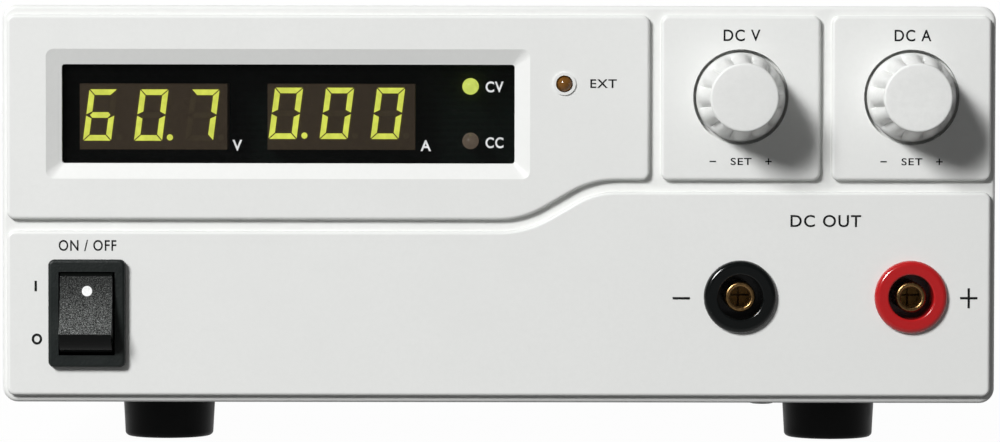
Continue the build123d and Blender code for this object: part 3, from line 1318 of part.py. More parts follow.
def make_slider(index):
    """One slider, resting at the lower end of its slot."""
    z = Z_REMOTE - SLIDER_TRAVEL / 2
    shape = Pos(slider_x(index), z) * Rectangle(SLIDER_WIDTH, SLIDER_LENGTH)
    face = Y_REAR + PORT_PROUD
    return slab(shape, face - SLIDER_ROOT, face + SLIDER_PROUD)


# Inner leads
def make_mains_leads():
    """Two leads from the inlet, over the right heat sink, to the power switch."""
    pieces = []
    y_pins = Y_REAR + INLET_PROUD - INLET_DEPTH - PIN_TAIL
    y_switch = Y_FRONT + SWITCH_BODY_DEPTH + SPADE_LENGTH
    z_spade = Z_SWITCH + SPADE_SPACING / 2
    for index, (x, z) in enumerate(pin_places()[:2]):
        step = LEAD_STEP * index
        y_turn = y_pins - 2 * LEAD_BEND - step
        z_lane = Z_MAIN_TOP + HEATSINK_HEIGHT + 2 * LEAD_BEND + step
        y_front = Y_MAIN_BOARD - LEAD_BEND - step
        x_spade = X_SWITCH + (index - 0.5) * SPADE_SPACING
        pieces.append(lead([
            (x, y_pins, z), (x, y_turn, z), (x, y_turn, z_lane), (x, y_front, z_lane),
            (x_spade, y_front, z_lane), (x_spade, y_front, z_spade), (x_spade, y_switch, z_spade),
        ]))
    return group(pieces)


def make_dc_leads():
    """Leads from the board to the output posts and to the front sockets."""
    pieces = []
    y_stud = Y_REAR - STUD_TAIL
    y_foot = Y_MAIN_BACK - LEAD_FOOT_INSET
    for x in X_POSTS:
        pieces.append(lead([(x, y_stud, Z_POST), (x, y_foot, Z_POST), (x, y_foot, Z_MAIN_TOP)]))
    y_tail = Y_SOCKET + CONTACT_SUNK + CONTACT_LENGTH + CONTACT_TAIL_LENGTH
    y_foot = Y_MAIN_BOARD + LEAD_FOOT_INSET
    for x in X_KNOBS:
        pieces.append(lead([
            (x, y_tail, Z_SOCKET), (x, y_foot, Z_SOCKET), (x, y_foot, Z_MAIN_TOP),
        ]))
    return group(pieces)


def make_ribbon():
    """The flat ribbon from the display board down to the main board."""
    y_back = Y_BOARD + BOARD_THICKNESS
    z_high = Z_TOP - BOARD_FROM_TOP - BOARD_HEIGHT + LEAD_BEND
    y_foot = Y_MAIN_BOARD + LEAD_FOOT_INSET
    path = FilletPolyline(
        (0, y_back, z_high), (0, y_foot, z_high), (0, y_foot, Z_MAIN_TOP), radius=LEAD_BEND
    )
    section = Plane(origin=path @ 0, x_dir=(1, 0, 0), z_dir=path % 0)
    return sweep(section * Rectangle(RIBBON_WIDTH, RIBBON_THICKNESS), path=path)


def build():
    """Every piece by its name."""
    left, right = X_KNOBS
    red, black = X_POSTS
    pieces = {
        "front_bezel": make_bezel(),
        "display_window": make_pane(),
        "display_board": make_display_board(),
        "board_screws": make_board_screws(),
        "voltage_display": make_module(X_MODULES[0]),
        "current_display": make_module(X_MODULES[1]),
        "mode_lamps": make_mode_lamps(),
        "remote_lamp": make_remote_lamp(),
        "rotary_encoders": group([make_encoder(x) for x in X_KNOBS]),
        "power_switch_body": make_switch_body(),
        "power_rocker": make_rocker(),
        "switch_terminals": make_spades(),
        "black_socket": make_socket(left),
        "red_socket": make_socket(right),
        "socket_contacts": group([make_contact(x) for x in X_KNOBS]),
        "socket_nuts": group([make_nut(x) for x in X_KNOBS]),
        "chassis_base": make_chassis(),
        "rear_panel": make_rear_panel(),
        "top_cover": make_cover(),
        "cover_screws": make_cover_screws(),
        "underside_screws": make_underside_screws(),
        "feet": make_feet(),
        "main_board": make_main_board(),
        "board_spacers": make_spacers(),
        "transformer_core": make_core(),
        "transformer_winding": make_winding(),
        "capacitors": make_capacitors(),
        "heatsinks": group([make_heatsink(side) for side in (-1, 1)]),
        "power_transistors": make_transistors(),
        "chokes": make_chokes(),
        "inlet_housing": make_inlet(),
        "inlet_pins": make_pins(),
        "fuse_drawer": make_drawer(),
        "fuse": make_fuse(),
        "fan_frame": make_fan_frame(),
        "fan_rotor": make_fan_rotor(),
        "fan_guard": make_fan_guard(),
        "fan_screws": make_fan_screws(),
        "red_post_base": make_post_base(red),
        "black_post_base": make_post_base(black),
        "post_studs": group([make_stud(x) for x in X_POSTS]),
        "red_post_washer": make_washer(red),
        "black_post_washer": make_washer(black),
        "red_post_cap": make_cap(red),
        "black_post_cap": make_cap(black),
        "usb_socket": make_usb(),
        "remote_connector": make_round_port(),
        "slide_switch_block": make_slide_block(),
        "mains_leads": make_mains_leads(),
        "dc_leads": make_dc_leads(),
        "display_ribbon": make_ribbon(),
    }
    for name, x in zip(("voltage", "current"), X_KNOBS):
        pieces[name + "_knob"] = make_knob(x)
        pieces[name + "_shaft"] = make_shaft(x)
        pieces[name + "_plunger"] = make_plunger(x)
    for index in range(SLIDERS):
        pieces["preset_slider_" + str(index + 1)] = make_slider(index)
    return pieces


os.makedirs("parts", exist_ok=True)
for node, shape in build().items():
    export_step(shape, os.path.join("parts", node + ".step"))
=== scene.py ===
import logging
import math
from dataclasses import dataclass
from enum import Enum
from typing import Callable, Iterable, Optional, Sequence

import bmesh
import bpy
from mathutils import Matrix, Vector
from mathutils.bvhtree import BVHTree


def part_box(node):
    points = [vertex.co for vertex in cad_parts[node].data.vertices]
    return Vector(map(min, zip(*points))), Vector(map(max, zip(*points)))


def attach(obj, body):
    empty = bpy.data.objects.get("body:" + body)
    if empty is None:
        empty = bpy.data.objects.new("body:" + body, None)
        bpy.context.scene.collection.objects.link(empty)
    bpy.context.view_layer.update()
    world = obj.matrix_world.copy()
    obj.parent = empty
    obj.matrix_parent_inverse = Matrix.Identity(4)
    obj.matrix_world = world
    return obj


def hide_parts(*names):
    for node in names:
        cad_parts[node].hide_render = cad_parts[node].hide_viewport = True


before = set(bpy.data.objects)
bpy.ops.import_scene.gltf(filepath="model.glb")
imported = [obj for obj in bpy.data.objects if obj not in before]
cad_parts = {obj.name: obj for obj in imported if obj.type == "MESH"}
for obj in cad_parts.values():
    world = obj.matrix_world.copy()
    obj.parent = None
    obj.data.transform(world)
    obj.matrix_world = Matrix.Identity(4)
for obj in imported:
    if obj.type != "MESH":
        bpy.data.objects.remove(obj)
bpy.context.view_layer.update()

log = logging.getLogger("bench_supply")

MM = 0.001
ROCKER_AXIS_Y = -109.65 * MM

Colour = tuple[float, float, float, float]
Place = tuple[float, float, float]
Flat = list[tuple[float, float]]
Loose = bmesh.types.BMesh
Ring = list[bmesh.types.BMVert]
Socket = bpy.types.NodeSocket


def paint(red: float, green: float, blue: float) -> Colour:
    """Turn a screen colour into the linear one that shaders take.

    Args:
        red: Red, 0 to 255.
        green: Green, 0 to 255.
        blue: Blue, 0 to 255.

    Returns:
        The linear colour with full alpha.
    """
    def linear(value: float) -> float:
        """One channel."""
        share = value / 255
        return share / 12.92 if share <= 0.04045 else ((share + 0.055) / 1.055) ** 2.4

    return (linear(red), linear(green), linear(blue), 1.0)


def shaded(colour: Colour, share: float) -> Colour:
    """The same colour, darker or lighter by a share."""
    return tuple(min(1.0, channel * share) for channel in colour[:3]) + (1.0,)


# Materials


class Nodes:
    """A node tree that is being filled in."""

    def __init__(self, tree: bpy.types.NodeTree) -> None:
        """Take the tree."""
        self.tree = tree

    def add(
        self,
        kind: str,
        inputs: Optional[dict[str | int, object]] = None,
        **settings: object,
    ) -> bpy.types.Node:
        """Add a node, set its properties, and link or set its inputs.

        Args:
            kind: The node's type name.
            inputs: Sockets to link from, or constants, by the input's name or number.
            **settings: Properties by name.

        Returns:
            The new node.
        """
        node = self.tree.nodes.new(kind)
        for key, value in settings.items():
            setattr(node, key, value)
        for key, value in (inputs or {}).items():
            if isinstance(value, Socket):
                self.tree.links.new(value, node.inputs[key])
            else:
                node.inputs[key].default_value = value
        return node

    def spread(
        self, value: Socket, low: float, high: float, start: float = 0.0, end: float = 1.0,
    ) -> Socket:
        """Map a value from one range to another, clamped."""
        ends = {"From Min": low, "From Max": high, "To Min": start, "To Max": end}
        return self.add("ShaderNodeMapRange", {"Value": value} | ends).outputs["Result"]


class Graph(Nodes):
    """A node material on one Principled shader, with patterns in Object coordinates."""

    def __init__(self, name: str) -> None:
        """Start the material with its shader and its coordinates.

        Args:
            name: The material's name.
        """
        self.material = bpy.data.materials.new(name)
        self.material.use_nodes = True
        super().__init__(self.material.node_tree)
        self.shader = self.tree.nodes["Principled BSDF"]
        self.where = self.add("ShaderNodeTexCoord").outputs["Object"]

    def fix(self, **values: object) -> None:
        """Set constants on the shader's own sockets, with _ for a space in a name."""
        for key, value in values.items():
            self.shader.inputs[key.replace("_", " ")].default_value = value

    def feed(self, socket: str, source: Socket) -> None:
        """Drive one socket of the shader."""
        self.tree.links.new(source, self.shader.inputs[socket])

    def colour(self, share: Socket, low: Colour | Socket, high: Colour | Socket) -> None:
        """Mix the shader's colour from two by a share."""
        self.feed("Base Color", self.tint(share, low, high))

    def gloss(self, value: Socket, low: float, high: float, start: float, end: float) -> None:
        """Map a value to the shader's roughness."""
        self.feed("Roughness", self.spread(value, low, high, start, end))

    def mapped(
        self,
        stretch: Place = (1, 1, 1),
        shift: Place = (0, 0, 0),
        turn: Place = (0, 0, 0),
        source: Optional[Socket] = None,
    ) -> Socket:
        """Stretch, turn (in radians) and then shift the coordinates."""
        change = {"Scale": stretch, "Location": shift, "Rotation": turn}
        return self.add("ShaderNodeMapping", {"Vector": source or self.where} | change).outputs[0]

    def noise(self, size: float, detail: float = 2.0, source: Optional[Socket] = None) -> Socket:
        """Cloudy noise whose features are about the given size in metres."""
        inputs = {"Vector": source or self.where, "Scale": 1 / size, "Detail": detail}
        return self.add("ShaderNodeTexNoise", inputs).outputs["Fac"]

    def cells(self, size: float) -> Socket:
        """Distance inside rounded cells of the given size in metres."""
        inputs = {"Vector": self.where, "Scale": 1 / size}
        return self.add("ShaderNodeTexVoronoi", inputs).outputs["Distance"]

    def bands(self, size: float, axis: str, wobble: float = 0.0) -> Socket:
        """Even bands across one axis, each of the given width in metres."""
        inputs = {"Vector": self.where, "Scale": math.pi / (10 * size), "Distortion": wobble}
        return self.add("ShaderNodeTexWave", inputs, bands_direction=axis).outputs["Fac"]

    def sum(self, first: Socket, second: Socket | float, operation: str = "ADD") -> Socket:
        """Combine two values by a plain operation."""
        return self.add("ShaderNodeMath", {0: first, 1: second}, operation=operation).outputs[0]

    def tint(self, share: Socket, low: Colour | Socket, high: Colour | Socket) -> Socket:
        """Mix two colours by a share."""
        return self.add("ShaderNodeMix", {0: share, 6: low, 7: high}, data_type="RGBA").outputs[2]

    def axis(self, name: str, source: Socket) -> Socket:
        """One coordinate, "X", "Y" or "Z"."""
        return self.add("ShaderNodeSeparateXYZ", {0: source}).outputs[name]

    def layer(self, name: str) -> Socket:
        """A value that the mesh carries at its points."""
        return self.add("ShaderNodeAttribute", attribute_name=name).outputs["Fac"]

    def relief(self, height: Socket, depth: float, strength: float = 1.0) -> None:
        """Bump the surface by a height, with its depth in metres.

        Args:
            height: The height, 0 to 1.
            depth: How deep the relief is.
            strength: How much of it shows.
        """
        inputs = {"Height": height, "Distance": depth, "Strength": strength}
        bump = self.add("ShaderNodeBump", inputs)
        self.feed("Normal", bump.outputs["Normal"])


@dataclass(frozen=True)
class Finish:
    """A named surface finish; each kind fills in its own nodes."""

    name: str
    colour: Colour

    def material(self) -> bpy.types.Material:
        """Make the material once.

        Returns:
            The material, the same one each time.
        """
        made = bpy.data.materials.get(self.name)
        if made is None:
            graph = Graph(self.name)
            self.build(graph)
            made = graph.material
        return made

    def tone(self, share: float) -> Colour:
        """The finish's own colour, darker or lighter by a share."""
        return shaded(self.colour, share)

    def build(self, graph: Graph) -> None:
        """Fill in the nodes of the material."""
        raise NotImplementedError


@dataclass(frozen=True)
class MouldedPlastic(Finish):
    """Injection-moulded plastic: a spark-eroded grain and slightly cloudy colour."""

    roughness: float = 0.45
    grain: float = 0.35 * MM
    depth: float = 0.012 * MM
    cloud: float = 0.03
    coat: float = 0.0
    specular: float = 0.5

    def build(self, graph: Graph) -> None:
        """Cloudy colour, uneven gloss and fine grain.

        Args:
            graph: The material being made.
        """
        drift = graph.sum(graph.noise(28 * MM, 3), graph.noise(1.1 * MM, 4), "MULTIPLY")
        share = graph.spread(drift, 0.12, 0.4)
        graph.colour(share, self.tone(1 - self.cloud), self.tone(1 + self.cloud))
        rough = self.roughness
        graph.gloss(graph.noise(5 * MM, 3), 0.3, 0.7, rough - 0.05, rough + 0.05)
        graph.fix(Coat_Weight=self.coat, Coat_Roughness=0.08, Specular_IOR_Level=self.specular)
        pits = graph.sum(graph.noise(self.grain, 3), graph.cells(self.grain * 1.7))
        graph.relief(pits, self.depth)


@dataclass(frozen=True)
class PearlPlastic(Finish):
    """Glossy lacquered plastic: fine streaks along its flutes, painted light and shade across each
    lobe, and painted shade in their creases.
    """

    roughness: float = 0.16
    metallic: float = 0.3
    crease: str = "crease"
    painted_lobe_shade: str = "painted_lobe_shade"

    def build(self, graph: Graph) -> None:
        """Painted light and shade across the lobes, fine streaks along the depth of the knob and
        painted shade in the creases, under a clear coat.

        Args:
            graph: The material being made.
        """
        lines = graph.noise(1.1 * MM, 4, graph.mapped((1, 0.1, 1)))
        # Painted light and shade: the lobe layer makes one side of each lobe lighter and the other
        # darker.
        share = graph.spread(graph.sum(graph.layer(self.painted_lobe_shade), lines), 0.5, 1.15)
        pale = graph.tint(share, self.tone(0.45), self.colour)
        # Painted shade: the crease layer darkens the creases between the lobes towards a dark grey.
        hollow = graph.sum(graph.layer(self.crease), lines, "MULTIPLY")
        graph.colour(graph.spread(hollow, 0.06, 0.3), pale, self.tone(0.09))
        graph.gloss(lines, 0.3, 0.7, self.roughness + 0.1, self.roughness)
        graph.fix(Metallic=self.metallic, Coat_Weight=0.7, Coat_Roughness=0.06)
        graph.relief(graph.noise(1.8 * MM, 2, graph.mapped((1, 0.3, 1))), 0.05 * MM)


@dataclass(frozen=True)
class RockerPlastic(Finish):
    """The rocker: sandy on its dished face, with painted glints that thin out towards its top, and
    polished on its round ends.
    """

    pivot: Place = (0.0, 0.0, 0.0)
    tilt: float = 17.0
    face_half: float = 6.0 * MM
    # Painted highlight: the colour of the glints painted on the sandy face.
    fleck: Colour = paint(150, 153, 151)

    def build(self, graph: Graph) -> None:
        """Find the face in the rocker's own frame, and roughen only that; its light flecks are
        painted glints.

        Args:
            graph: The material being made.
        """
        moved = graph.mapped(shift=tuple(-v for v in self.pivot))
        height = graph.axis("Z", graph.mapped(turn=(math.radians(self.tilt), 0, 0), source=moved))
        reach = graph.sum(height, 0.0, "ABSOLUTE")
        on_face = graph.spread(reach, self.face_half, self.face_half - 0.1 * MM)
        edge = 0.7 * self.face_half
        # Painted shade: fewer glints towards the top of the face, so that the top is darker.
        lower = graph.spread(height, edge, -edge, 0.35, 1.0)
        painted_glint_spots = graph.spread(graph.noise(0.17 * MM, 3), 0.46, 0.68)
        painted_glints = graph.sum(graph.sum(painted_glint_spots, lower, "MULTIPLY"), on_face, "MULTIPLY")
        graph.colour(painted_glints, self.colour, self.fleck)
        graph.gloss(on_face, 0, 1, 0.14, 0.42)
        graph.fix(Specular_IOR_Level=0.12)
        crumbs = graph.sum(graph.noise(0.22 * MM, 4), on_face, "MULTIPLY")
        graph.relief(crumbs, 0.12 * MM, 0.9)


@dataclass(frozen=True)
class PaintedSheet(Finish):
    """Powder-coated sheet steel with its orange-peel skin."""

    roughness: float = 0.5

    def build(self, graph: Graph) -> None:
        """Orange peel, tiny flecks and a few rubbed patches.

        Args:
            graph: The material being made.
        """
        rubbed = graph.spread(graph.noise(40 * MM, 5), 0.55, 0.8)
        fleck = graph.spread(graph.noise(0.5 * MM, 2), 0.55, 0.75)
        graph.colour(rubbed, graph.tint(fleck, self.colour, self.tone(1.5)), self.tone(1.12))
        graph.gloss(rubbed, 0, 1, self.roughness, self.roughness - 0.12)
        graph.relief(graph.noise(0.9 * MM, 3), 0.05 * MM, 0.6)


@dataclass(frozen=True)
class Metal(Finish):
    """Bare or plated metal with drawn lines, smudges and some tarnish."""

    roughness: float = 0.3
    draw: Place = (1.0, 0.1, 1.0)
    tarnish: float = 0.2

    def build(self, graph: Graph) -> None:
        """Drawn lines along one axis and darker patches.

        Args:
            graph: The material being made.
        """
        lines = graph.noise(0.5 * MM, 3, graph.mapped(self.draw))
        stain = graph.spread(graph.noise(4 * MM, 4), 0.45, 0.75)
        graph.colour(stain, self.colour, self.tone(1 - self.tarnish))
        graph.gloss(lines, 0.3, 0.7, self.roughness - 0.08, self.roughness + 0.12)
        graph.fix(Metallic=1.0)
        graph.relief(lines, 0.01 * MM, 0.5)


@dataclass(frozen=True)
class Rubber(Finish):
    """Soft black rubber with a dusty bloom."""

    def build(self, graph: Graph) -> None:
        """Dust on a dull skin.

        Args:
            graph: The material being made.
        """
        bloom = graph.spread(graph.noise(6 * MM, 5), 0.5, 0.85)
        graph.colour(bloom, self.colour, self.tone(2.2))
        graph.gloss(bloom, 0, 1, 0.36, 0.6)
        graph.fix(Specular_IOR_Level=0.1)
        graph.relief(graph.noise(0.4 * MM, 3), 0.03 * MM, 0.5)


@dataclass(frozen=True)
class SmokedPane(Finish):
    """A dark tinted acrylic sheet that lets bright segments through."""

    opacity: float = 0.4

    def build(self, graph: Graph) -> None:
        """A near-black sheet with a polished face and faint wiping marks.

        Args:
            graph: The material being made.
        """
        marks = graph.noise(9 * MM, 4, graph.mapped((0.3, 1, 1)))
        graph.gloss(marks, 0.4, 0.8, 0.07, 0.16)
        graph.colour(marks, self.colour, self.tone(1.3))
        graph.fix(Alpha=self.opacity, Specular_IOR_Level=0.25)


@dataclass(frozen=True)
class Glow(Finish):
    """A glowing surface, a little brighter in some patches: a lit light source, or an unlit lens or
    a print with a painted glow.
    """

    strength: float = 1.0
    roughness: float = 0.4

    def build(self, graph: Graph) -> None:
        """Uneven emission over a translucent body.

        Args:
            graph: The material being made.
        """
        patch = graph.spread(graph.noise(1.6 * MM, 2), 0.35, 0.7)
        graph.feed("Emission Color", graph.tint(patch, self.tone(0.82), self.colour))
        graph.colour(patch, self.tone(0.4), self.tone(0.55))
        graph.fix(Emission_Strength=self.strength, Roughness=self.roughness)


@dataclass(frozen=True)
class Ink(Finish):
    """Screen-printed ink, a touch uneven where it was pressed."""

    roughness: float = 0.5

    def build(self, graph: Graph) -> None:
        """Slight mottling of the print.

        Args:
            graph: The material being made.
        """
        press = graph.spread(graph.noise(0.35 * MM, 3), 0.3, 0.7)
        graph.colour(press, self.colour, self.tone(1.25))
        graph.fix(Roughness=self.roughness, Specular_IOR_Level=0.15)
        graph.relief(press, 0.004 * MM)


@dataclass(frozen=True)
class CircuitBoard(Finish):
    """Solder mask over copper tracks, with the weave of the board under it."""

    pad: Colour = paint(176, 172, 160)

    def build(self, graph: Graph) -> None:
        """Tracks, pads and glass weave.

        Args:
            graph: The material being made.
        """
        flat = graph.mapped(turn=(math.radians(90), 0, 0))
        weave = graph.add("ShaderNodeTexBrick", {
            "Vector": flat, "Scale": 180, "Mortar Size": 0.06}).outputs["Fac"]
        pads = graph.spread(graph.cells(3.2 * MM), 0.16, 0.12)
        graph.colour(pads, graph.tint(weave, self.colour, self.tone(1.7)), self.pad)
        graph.gloss(pads, 0, 1, 0.3, 0.42)
        graph.relief(graph.sum(weave, pads, "MAXIMUM"), 0.03 * MM)


@dataclass(frozen=True)
class Winding(Finish):
    """Enamelled copper wire wound close, with a gap between its turns."""

    wire: float = 0.8 * MM
    axis: str = "Z"

    def build(self, graph: Graph) -> None:
        """Turns side by side, dark in between.

        Args:
            graph: The material being made.
        """
        turns = graph.bands(self.wire, self.axis, 0.6)
        graph.colour(turns, self.tone(0.25), self.colour)
        graph.fix(Metallic=0.7, Roughness=0.28, Coat_Weight=0.4)
        graph.relief(turns, 0.3 * MM)


@dataclass(frozen=True)
class Jacket(Finish):
    """Soft wire insulation with a slight sheen and scuffs."""

    def build(self, graph: Graph) -> None:
        """Scuffs over a smooth skin.

        Args:
            graph: The material being made.
        """
        scuff = graph.spread(graph.noise(3 * MM, 5), 0.5, 0.8)
        graph.colour(scuff, self.colour, self.tone(1.5))
        graph.gloss(scuff, 0, 1, 0.35, 0.55)
        graph.relief(graph.noise(0.8 * MM, 2), 0.01 * MM)


@dataclass(frozen=True)
class RibbonJacket(Finish):
    """Flat cable: a row of cores side by side."""

    core: float = 1.27 * MM

    def build(self, graph: Graph) -> None:
        """Ridges across the width.

        Args:
            graph: The material being made.
        """
        ridge = graph.bands(self.core, "X")
        graph.colour(ridge, self.tone(0.6), self.colour)
        graph.fix(Roughness=0.45)
        graph.relief(ridge, 0.25 * MM)


BEZEL = MouldedPlastic("bezel_plastic_finish", paint(230, 231, 229), 0.46, depth=0.006 * MM,
                       cloud=0.012)
KNOB_TOP = MouldedPlastic("knob_top_finish", paint(230, 231, 229), 0.5, grain=0.25 * MM)
# The knob skirt's colour carries painted light and shade on its lobes and painted shade in its
# creases.
KNOB_SKIRT = PearlPlastic("knob_skirt_finish", paint(243, 243, 240))
BLACK = MouldedPlastic("black_plastic_finish", paint(20, 21, 22), 0.34, cloud=0.12,
                       specular=0.35)
GLOSS_BLACK = MouldedPlastic("socket_black_finish", paint(5, 8, 8), 0.14, depth=0.002 * MM,
                             cloud=0.1, coat=0.3, specular=0.25)
SWITCH_BLACK = MouldedPlastic("switch_black_finish", paint(24, 29, 28), 0.4, depth=0.03 * MM,
                              cloud=0.2, specular=0.3)
RED = MouldedPlastic("socket_red_finish", paint(178, 24, 27), 0.2, depth=0.003 * MM, coat=0.4,
                     specular=0.4)
POST_RED = MouldedPlastic("post_red_finish", paint(190, 30, 30), 0.35)
COVER = PaintedSheet("cover_paint_finish", paint(62, 64, 66))
ZINC = Metal("zinc_finish", paint(186, 188, 190), 0.32)
STEEL = Metal("steel_finish", paint(168, 170, 172), 0.3)
BLACK_SCREW = Metal("black_screw_finish", paint(36, 36, 38), 0.38, tarnish=0.4)
BRASS = Metal("brass_finish", paint(196, 164, 98), 0.24, tarnish=0.35)
CONTACT = Metal("contact_finish", paint(154, 122, 80), 0.24, tarnish=0.6)
SPRING = Metal("spring_finish", paint(132, 104, 62), 0.32, tarnish=0.5)
ALUMINIUM = Metal("sink_finish", paint(150, 152, 154), 0.42, draw=(1.0, 0.05, 1.0))
RUBBER = Rubber("foot_rubber_finish", paint(5, 6, 6))
BOARD = CircuitBoard("board_finish", paint(22, 78, 46))
DARK_BOARD = CircuitBoard("display_board_finish", paint(10, 26, 20), paint(14, 34, 26))
COPPER = Winding("winding_finish", paint(178, 98, 56))
FERRITE = MouldedPlastic("ferrite_finish", paint(46, 44, 44), 0.6, grain=0.6 * MM, depth=0.06 * MM)
CAN = MouldedPlastic("can_finish", paint(28, 36, 62), 0.3, cloud=0.1, coat=0.3)
FUSE = MouldedPlastic("fuse_finish", paint(205, 208, 204), 0.1, depth=0.001 * MM, coat=0.8)
LEAD = Jacket("lead_finish", paint(30, 30, 32))
RIBBON = RibbonJacket("ribbon_finish", paint(170, 170, 168))
SLIDER = MouldedPlastic("slider_finish", paint(228, 228, 222), 0.4)
PANE = SmokedPane("pane_finish", paint(8, 9, 9))
MODULE = MouldedPlastic("module_face_finish", paint(138, 119, 96), 0.5, cloud=0.1)
LIT_BAR = Glow("lit_bar_finish", paint(219, 227, 92), 2.6)
DARK_BAR = MouldedPlastic("dark_bar_finish", paint(150, 132, 104), 0.35, cloud=0.08)
LIT_LAMP = Glow("lit_lamp_finish", paint(209, 224, 104), 2.6, 0.25)
# Painted glow: the unlit lower mode lamp emits light though it is off.
UNLIT_LAMP_PAINTED_GLOW = Glow("unlit_lamp_painted_glow_finish", paint(122, 108, 94), 1.4, 0.25)
# Painted glow: the unlit remote lamp's lens emits a faint light.
AMBER_LAMP_PAINTED_GLOW = Glow("amber_lamp_painted_glow_finish", paint(150, 100, 40), 0.12, 0.15)
DARK_INK = Ink("dark_ink_finish", paint(16, 17, 18))
WHITE_INK = Ink("white_ink_finish", paint(232, 234, 234))
# Painted glow: the white print on the window emits light, though it is only ink.
WINDOW_INK_PAINTED_GLOW = Glow("window_ink_painted_glow_finish", paint(236, 238, 238), 0.45, 0.5)

NODE_FINISHES: dict[Finish, tuple[str, ...]] = {
    BEZEL: ("front_bezel",),
    PANE: ("display_window",),
    MODULE: ("voltage_display", "current_display"),
    BLACK: (
        "power_transistors", "inlet_housing", "fuse_drawer", "fan_frame", "fan_rotor",
        "slide_switch_block", "socket_nuts", "voltage_plunger", "current_plunger",
        "black_post_base", "black_post_cap",
    ),
    SWITCH_BLACK: ("power_switch_body",),
    GLOSS_BLACK: ("black_socket",),
    RED: ("red_socket",),
    POST_RED: ("red_post_base", "red_post_cap"),
    COVER: ("chassis_base", "rear_panel", "top_cover"),
    ZINC: ("rotary_encoders", "voltage_shaft", "current_shaft", "usb_socket"),
    STEEL: ("remote_connector", "fan_guard", "board_screws"),
    BLACK_SCREW: ("cover_screws", "fan_screws", "underside_screws"),
    CONTACT: ("socket_contacts",),
    BRASS: (
        "switch_terminals", "inlet_pins", "post_studs", "board_spacers",
        "red_post_washer", "black_post_washer",
    ),
    ALUMINIUM: ("heatsinks",),
    RUBBER: ("feet",),
    BOARD: ("main_board",),
    DARK_BOARD: ("display_board",),
    COPPER: ("transformer_winding", "chokes"),
    FERRITE: ("transformer_core",),
    CAN: ("capacitors",),
    FUSE: ("fuse",),
    LEAD: ("mains_leads", "dc_leads"),
    RIBBON: ("display_ribbon",),
    SLIDER: ("preset_slider_1", "preset_slider_2", "preset_slider_3"),
    UNLIT_LAMP_PAINTED_GLOW: ("mode_lamps",),
    AMBER_LAMP_PAINTED_GLOW: ("remote_lamp",),
    KNOB_TOP: ("voltage_knob", "current_knob"),
}


# Mesh helpers


def middle(node: str) -> Vector:
    """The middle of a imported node's box."""
    low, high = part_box(node)
    return (low + high) / 2


def link(name: str, data: bpy.types.ID) -> bpy.types.Object:
    """Make an object of a data block and put it in the scene.

    Args:
        name: The object's name.
        data: The mesh, curve, light or camera.

    Returns:
        The new object.
    """
    made = bpy.data.objects.new(name, data)
    bpy.context.scene.collection.objects.link(made)
    return made


def written(mesh: Loose, name: str) -> bpy.types.Mesh:
    """Write a loose mesh to a data block, and free it.

    Args:
        mesh: The loose mesh.
        name: The data block's name.

    Returns:
        The data block.
    """
    shape = bpy.data.meshes.new(name)
    mesh.to_mesh(shape)
    mesh.free()
    return shape


def evaluated(holder: bpy.types.Object) -> bpy.types.Mesh:
    """The mesh of an object with its modifiers or its lettering worked out.

    Args:
        holder: The object, linked in the scene.

    Returns:
        A new mesh.
    """
    bpy.context.view_layer.update()
    return bpy.data.meshes.new_from_object(
        holder.evaluated_get(bpy.context.evaluated_depsgraph_get())
    )


def add_piece(
    name: str,
    body: str,
    mesh: bpy.types.Mesh | Loose,
    finishes: Sequence[Finish],
    replaces: Sequence[str] = (),
    crease: float = 35.0,
) -> None:
    """Make an object of a mesh that is already in place, dress it and let it ride.

    Args:
        name: The piece's name.
        body: The body it moves with.
        mesh: The geometry, in the frame's own coordinates.
        finishes: One finish for each material index.
        replaces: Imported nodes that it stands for.
        crease: The angle in degrees past which an edge stays sharp.
    """
    if isinstance(mesh, Loose):
        mesh = written(mesh, name)
    mesh.name = name
    mesh.materials.clear()
    for finish in finishes:
        mesh.materials.append(finish.material())
    mesh.polygons.foreach_set("use_smooth", [True] * len(mesh.polygons))
    mesh.set_sharp_from_angle(angle=math.radians(crease))
    piece = link(name, mesh)
    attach(piece, body)
    if replaces:
        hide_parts(*replaces)
    log.info("%s: %d faces on %s", name, len(mesh.polygons), body)


def around(steps: int) -> Flat:
    """Cosine and sine at each step of one turn."""
    return [(math.cos(a), math.sin(a)) for a in (2 * math.pi * s / steps for s in range(steps))]


def bridge(mesh: Loose, near: Ring, far: Ring) -> None:
    """Join two rings, point by point, by a band of faces.

    Args:
        mesh: The mesh that has both rings.
        near: One ring.
        far: The other, with as many points.
    """
    for s, corner in enumerate(near):
        after = (s + 1) % len(near)
        mesh.faces.new((corner, near[after], far[after], far[s]))


def outward(mesh: Loose) -> Loose:
    """Point the faces of a closed mesh outwards, and give it back."""
    bmesh.ops.recalc_face_normals(mesh, faces=mesh.faces)
    return mesh


